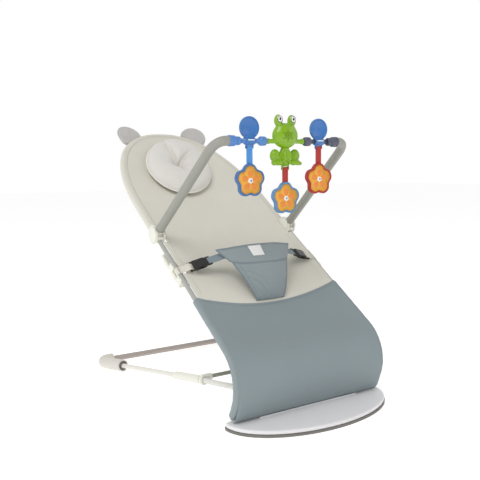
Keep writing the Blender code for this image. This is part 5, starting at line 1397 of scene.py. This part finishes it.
def flower_outline(grow):
    """The (x, z) corners of a shape with five lobes, grown by an amount."""
    points = []
    for step in range(120):
        angle = 2 * math.pi * step / 120
        lobe = 5 * (angle - math.pi / 2)
        radius = FLOWER_RADIUS + grow + FLOWER_WAVE * math.cos(lobe) - FLOWER_FLATTENING * math.cos(2 * lobe)
        points.append((radius * math.cos(angle), radius * math.sin(angle)))
    return points


def plate_from(name, outline, half, place, inner=None):
    """A flat plate facing the front and the back, or a frame where an inner outline is given."""
    corners, faces = [], []
    count = len(outline)
    for loop in [outline, inner] if inner else [outline]:
        for y in (-half, half):
            corners += [place + Vector((x, y, z)) for x, z in loop]
    for index in range(count):
        beyond = (index + 1) % count
        faces.append((index, beyond, count + beyond, count + index))
        if inner:
            low, high = 2 * count, 3 * count
            faces.append((low + beyond, low + index, high + index, high + beyond))
            faces.append((beyond, index, low + index, low + beyond))
            faces.append((count + index, count + beyond, high + beyond, high + index))
    if not inner:
        faces.append(tuple(reversed(range(count))))
        faces.append(tuple(range(count, 2 * count)))
    return facing_out(from_faces(name, corners, faces))


def flower_toy(word, x, drop, length, rim_look, strap_look):
    """A flower with a raised rim, five petals, a white heart and a dot, on its strap."""
    body = f"flower_{word}"
    strap_toy(word, x, drop, length, strap_look, body)
    middle = BAR + Vector((x, 0.0, -drop - length - FLOWER_TOP))
    inner = flower_outline(-FLOWER_RIM_WIDTH)
    rim = plate_from(f"flower_rim_{word}", flower_outline(0.0), FLOWER_RIM_HALF, middle, inner)
    dress(rounded(rim, 0.0011), rim_look, body, f"flower_{word}")
    outline = flower_outline(-FLOWER_FACE_INSET)
    dress(plate_from(f"flower_face_{word}", outline, FLOWER_FACE_HALF, middle), YELLOW, body)
    petals = []
    for petal in range(5):
        angle = math.pi / 2 + 2 * math.pi * petal / 5
        away, across = Vector((math.cos(angle), math.sin(angle))), Vector((-math.sin(angle), math.cos(angle)))
        outline = []
        for step in range(28):
            turn = 2 * math.pi * step / 28
            reach = PETAL_MIDDLE + PETAL_REACH * math.cos(turn)
            width = PETAL_HALF_WIDTH * math.sin(turn) * (1.0 + 0.35 * math.cos(turn))
            outline.append(tuple(away * reach + across * width))
        petals.append(rounded(plate_from("petal", outline, PETAL_HALF, middle), 0.0004, 2))
    dress(merged(f"flower_petals_{word}", petals), PETAL, body)
    for name, profile, sides, look in (("heart", HEART, 32, HEART_WHITE), ("dot", DOT, 20, RIM_BLUE)):
        both = [turned(name, profile, middle, (0, way, 0), sides) for way in (-1, 1)]
        dress(merged(f"flower_{name}_{word}", both), look, body)


def egg(radii, place, across=28, rings=18):
    """A smooth lump with the given half sizes."""
    shape = bmesh.new()
    bmesh.ops.create_uvsphere(shape, u_segments=across, v_segments=rings, radius=1.0)
    bmesh.ops.scale(shape, verts=shape.verts, vec=radii)
    bmesh.ops.translate(shape, verts=shape.verts, vec=place)
    return from_shape("egg", shape)


def blended(item, voxel, rounds):
    """One smooth skin over overlapping lumps."""
    skin = item.modifiers.new("skin", "REMESH")
    skin.mode = "VOXEL"
    skin.voxel_size = voxel
    soft = item.modifiers.new("soft", "SMOOTH")
    soft.factor = 0.6
    soft.iterations = rounds
    baked(item).data.shade_smooth()
    return item


def from_rod(place, side=1):
    """A place given from the rod's middle, or mirrored to a side."""
    return BAR + Vector((side * place[0], place[1], place[2]))


def frog():
    """A green frog that sits on the rod, with raised eyes, small holes in its face, and webbed feet."""
    head = [egg(FROG_HALF, from_rod((0, 0, FROG_MIDDLE)), 44, 30), egg(FROG_BROW[0], from_rod(FROG_BROW[1]))]
    eyes = {}
    for word, side in SIDES.items():
        head.append(egg(FROG_EYE_LUMP[0], from_rod(FROG_EYE_LUMP[1], side)))
        for name, (xs, radius) in (("arm", FROG_ARM), ("cuff", FROG_CUFF)):
            head.append(round_cord(name, [from_rod((x, 0, 0), side) for x in xs], radius, sides=28))
        eyes[word] = from_rod(FROG_EYE, side)
    skull = blended(merged("skull", head), 0.0011, 5)
    cutters = [egg(FROG_SOCKET, middle, 32, 22) for middle in eyes.values()]
    plugs = []
    face = from_rod(FROG_FACE)
    spots = [(0.0, 0.0)]
    for arm in range(6):
        angle = math.pi / 2 + 2 * math.pi * arm / 6
        spots += [(reach * math.cos(angle), reach * math.sin(angle)) for reach in FROG_HOLES]
        between = angle + math.pi / 6
        spots.append((FROG_HOLE_BETWEEN * math.cos(between), FROG_HOLE_BETWEEN * math.sin(between)))
    for x, z in spots:
        flat = ((face.x + x) / FROG_HALF[0]) ** 2 + ((face.z + z - BAR.z - FROG_MIDDLE) / FROG_HALF[2]) ** 2
        front = Vector((face.x + x, BAR.y - FROG_HALF[1] * math.sqrt(1 - flat), face.z + z))
        hole = [front + Vector((0, y, 0)) for y in (-0.0040, 0.0024)]
        cutters.append(round_cord("hole", hole, 0.00115, sides=12))
        # A dark plug a little inside each hole: painted shade in the hole.
        plug = [front + Vector((0, y, 0)) for y in (0.0006, 0.0028)]
        plugs.append(round_cord("plug", plug, 0.00125, sides=12))
    tool = merged("frog_cutter", cutters)
    cut = skull.modifiers.new("cut", "BOOLEAN")
    cut.operation = "DIFFERENCE"
    cut.object = tool
    cut.solver = "EXACT"
    baked(skull)
    bpy.data.objects.remove(tool, do_unlink=True)
    skull.name = skull.data.name = "frog_skull"
    skull.data.set_sharp_from_angle(angle=math.radians(55))
    dress(skull, GREEN, "frog", "frog_head")
    dress(merged("frog_hole_shade", plugs), SPEAKER_HOLE_SHADE, "frog")

    trunk = [egg(radii, from_rod(place)) for radii, place in FROG_TRUNK]
    for side in SIDES.values():
        trunk += [egg(radii, from_rod(place, side)) for radii, place in FROG_LIMBS]
        for toe in (-1, 0, 1):
            place = (0.0235 + 0.0070 * toe, -0.0075 + 0.0015 * abs(toe), -0.0435)
            trunk.append(egg(FROG_TOE, from_rod(place, side), 20, 12))
        trunk.append(egg(FROG_HAND[0], from_rod(FROG_HAND[1], side), 20, 12))
    trunk_skin = blended(merged("trunk", trunk), 0.0010, 3)
    bridge = block("bridge", (0.0130, 0.0062, 0.0070), from_rod((0, 0, -0.0459)), 0.0006, 2)
    hanger = lugs(0.0, FROG_LUG_Z, FROG_PIN_DROP + FROG_LUG_Z)
    dress(merged("frog_trunk", [trunk_skin, bridge, *hanger]), GREEN, "frog", "frog_body")
    gaze = Matrix.Rotation(FROG_GAZE, 3, "Z")
    for word, middle in eyes.items():
        ball = egg(FROG_EYEBALL, middle, 40, 28)
        ball.name = f"frog_eyeball_{word}"
        dress(ball, EYE, "frog", f"frog_eye_{word}")
        wide, ahead, high = FROG_EYE_RING
        rim = [middle + gaze @ Vector((wide * x, ahead, high * z)) for x, z in circle(1.0, 48)]
        ring = round_cord(f"frog_eye_ring_{word}", rim, 0.0006, [gaze @ Vector((0, 1, 0))] * 48, cyclic=True)
        dress(ring, PUPIL, "frog")
        pupil = egg(FROG_PUPIL[0], middle + gaze @ Vector(FROG_PUPIL[1]), 24, 16)
        pupil.name = f"frog_pupil_{word}"
        dress(pupil, PUPIL, "frog")


# Frame details


def rail(side, y):
    """The middle of a base rail at a y. It comes down to the corner's height a little in front of it."""
    x = RAIL_FRONT.x + (RAIL_CORNER.x - RAIL_FRONT.x) * (y - RAIL_FRONT.y) / (RAIL_CORNER.y - RAIL_FRONT.y)
    share = (y - RAIL_FRONT.y) / (RAIL_LEVEL_Y - RAIL_FRONT.y)
    return Vector((side * x, y, RAIL_FRONT.z + (RAIL_CORNER.z - RAIL_FRONT.z) * share))


def frame_details():
    """Collars, dark rings of painted shade in the sleeve gaps and the foot sockets, hub covers and the bead
    along the foot plate.
    """
    for word, side in SIDES.items():
        ahead = (rail(side, 0.3) - rail(side, 0.2)).normalized()
        for name, y, outer, bore, half, look in (
            ("sleeve_collar", 0.1155, 0.0094, 0.0060, 0.0045, WHITE_PLASTIC),
            # The next two rings are painted shade: in the gap beyond the sleeve collar and in the mouth of the
            # foot socket.
            ("sleeve_gap_shade", 0.1206, 0.00885, 0.0060, 0.0004, SOCKET_SHADOW_RING),
            ("foot_socket_shade", 0.4056, 0.0108, 0.0057, 0.0005, SOCKET_SHADOW_RING),
        ):
            edge = min(0.0005, half / 2)
            profile = [(outer - edge, half), (outer, half - edge), (outer, edge - half), (outer - edge, -half)]
            profile += [(bore, -half), (bore, half)]
            dress(turned(f"{name}_{word}", profile, rail(side, y), ahead), look, "base")
        for way in (-1, 1):
            hub = PLACES["toy_bar_swing"] + Vector((side * HALF_WIDTH + way * HUB_COVER_X, 0, 0))
            side_word = "outer" if way == side else "inner"
            disc = turned(f"hub_cover_{word}_{side_word}", HUB_COVER, hub, (way, 0, 0))
            dress(disc, WHITE_PLASTIC, "toy_bar")
    bead = [Vector((x / 1000, *BEAD_SPOT)) for x in range(-118, 119, 4)]
    dress(round_cord("plate_bead", bead, BEAD_RADIUS), BEAD_AND_HIGHLIGHT, "base")


# Light, floor and camera


def studio_world():
    """A white sweep behind the bouncer that dims overhead and in front of it."""
    world = bpy.data.worlds.new("studio")
    world.use_nodes = True
    tree = world.node_tree
    place = add(tree, "ShaderNodeTexCoord").outputs["Generated"]
    split = add(tree, "ShaderNodeSeparateXYZ", {"Vector": place}).outputs
    above = ranged(tree, split["Z"], 1.0, SKY_ABOVE, 0.28, 0.75)
    ahead = ranged(tree, split["Y"], SKY_FRONT, 1.0, -0.5, 0.4)
    both = add(tree, "ShaderNodeMath", {0: above, 1: ahead}, operation="MULTIPLY")
    background = tree.nodes["Background"]
    tree.links.new(both.outputs[0], background.inputs["Strength"])
    background.inputs["Color"].default_value = (1.0, 1.0, 1.0, 1.0)
    bpy.context.scene.world = world


def stage():
    """A glowing white floor, the sky, two lamps and the camera of the photo."""
    floor_corners = [(x * FLOOR_HALF, y * FLOOR_HALF, 0) for x, y in ((-1, -1), (1, -1), (1, 1), (-1, 1))]
    floor = from_faces("floor", floor_corners, [(0, 1, 2, 3)])
    material, _, shader = shader_of("floor_white", 0.9)
    shader.inputs["Base Color"].default_value = (FLOOR_SHADE, FLOOR_SHADE, FLOOR_SHADE, 1.0)
    shader.inputs["Emission Color"].default_value = (1.0, 1.0, 1.0, 1.0)
    shader.inputs["Emission Strength"].default_value = FLOOR_GLOW
    floor.data.materials.append(material)
    studio_world()
    scene = bpy.context.scene
    for name, place, size, power in LAMPS:
        lamp = bpy.data.lights.new(name, "AREA")
        lamp.shape = "DISK"
        lamp.size = size
        lamp.energy = power
        item = bpy.data.objects.new(name, lamp)
        item.location = place
        item.rotation_euler = (LAMP_AIM - Vector(place)).to_track_quat("-Z", "Y").to_euler()
        scene.collection.objects.link(item)

    level = math.cos(CAMERA_DOWN)
    forward = Vector(
        (-math.sin(CAMERA_AZIMUTH) * level, math.cos(CAMERA_AZIMUTH) * level, -math.sin(CAMERA_DOWN))
    )
    right = Vector((math.cos(CAMERA_AZIMUTH), math.sin(CAMERA_AZIMUTH), 0.0))
    up = right.cross(forward)
    turned_right = math.cos(CAMERA_ROLL) * right + math.sin(CAMERA_ROLL) * up
    turned_up = math.cos(CAMERA_ROLL) * up - math.sin(CAMERA_ROLL) * right
    camera = bpy.data.cameras.new("camera")
    camera.lens = FOCAL_PIXELS * camera.sensor_width / PHOTO_PIXELS
    item = bpy.data.objects.new("camera", camera)
    pose = Matrix((turned_right, turned_up, -forward)).transposed().to_4x4()
    pose.translation = CAMERA_PLACE
    item.matrix_world = pose
    scene.collection.objects.link(item)
    scene.camera = item
    scene.view_settings.view_transform = "Standard"


stage()
upper_cover()
lower_cover()
ears()
pillow()
harness()
webbing()
bar_fittings()
discs()
flower_toy("left", -DISC_X, SIDE_PIN_DROP, SIDE_STRAP, RIM_BLUE, STRAP_BLUE)
flower_toy("centre", 0.0, FROG_PIN_DROP, CENTRE_STRAP, RIM_MIST, STRAP_RED)
flower_toy("right", DISC_X, SIDE_PIN_DROP, SIDE_STRAP, RIM_RED, STRAP_RED)
frog()
frame_details()
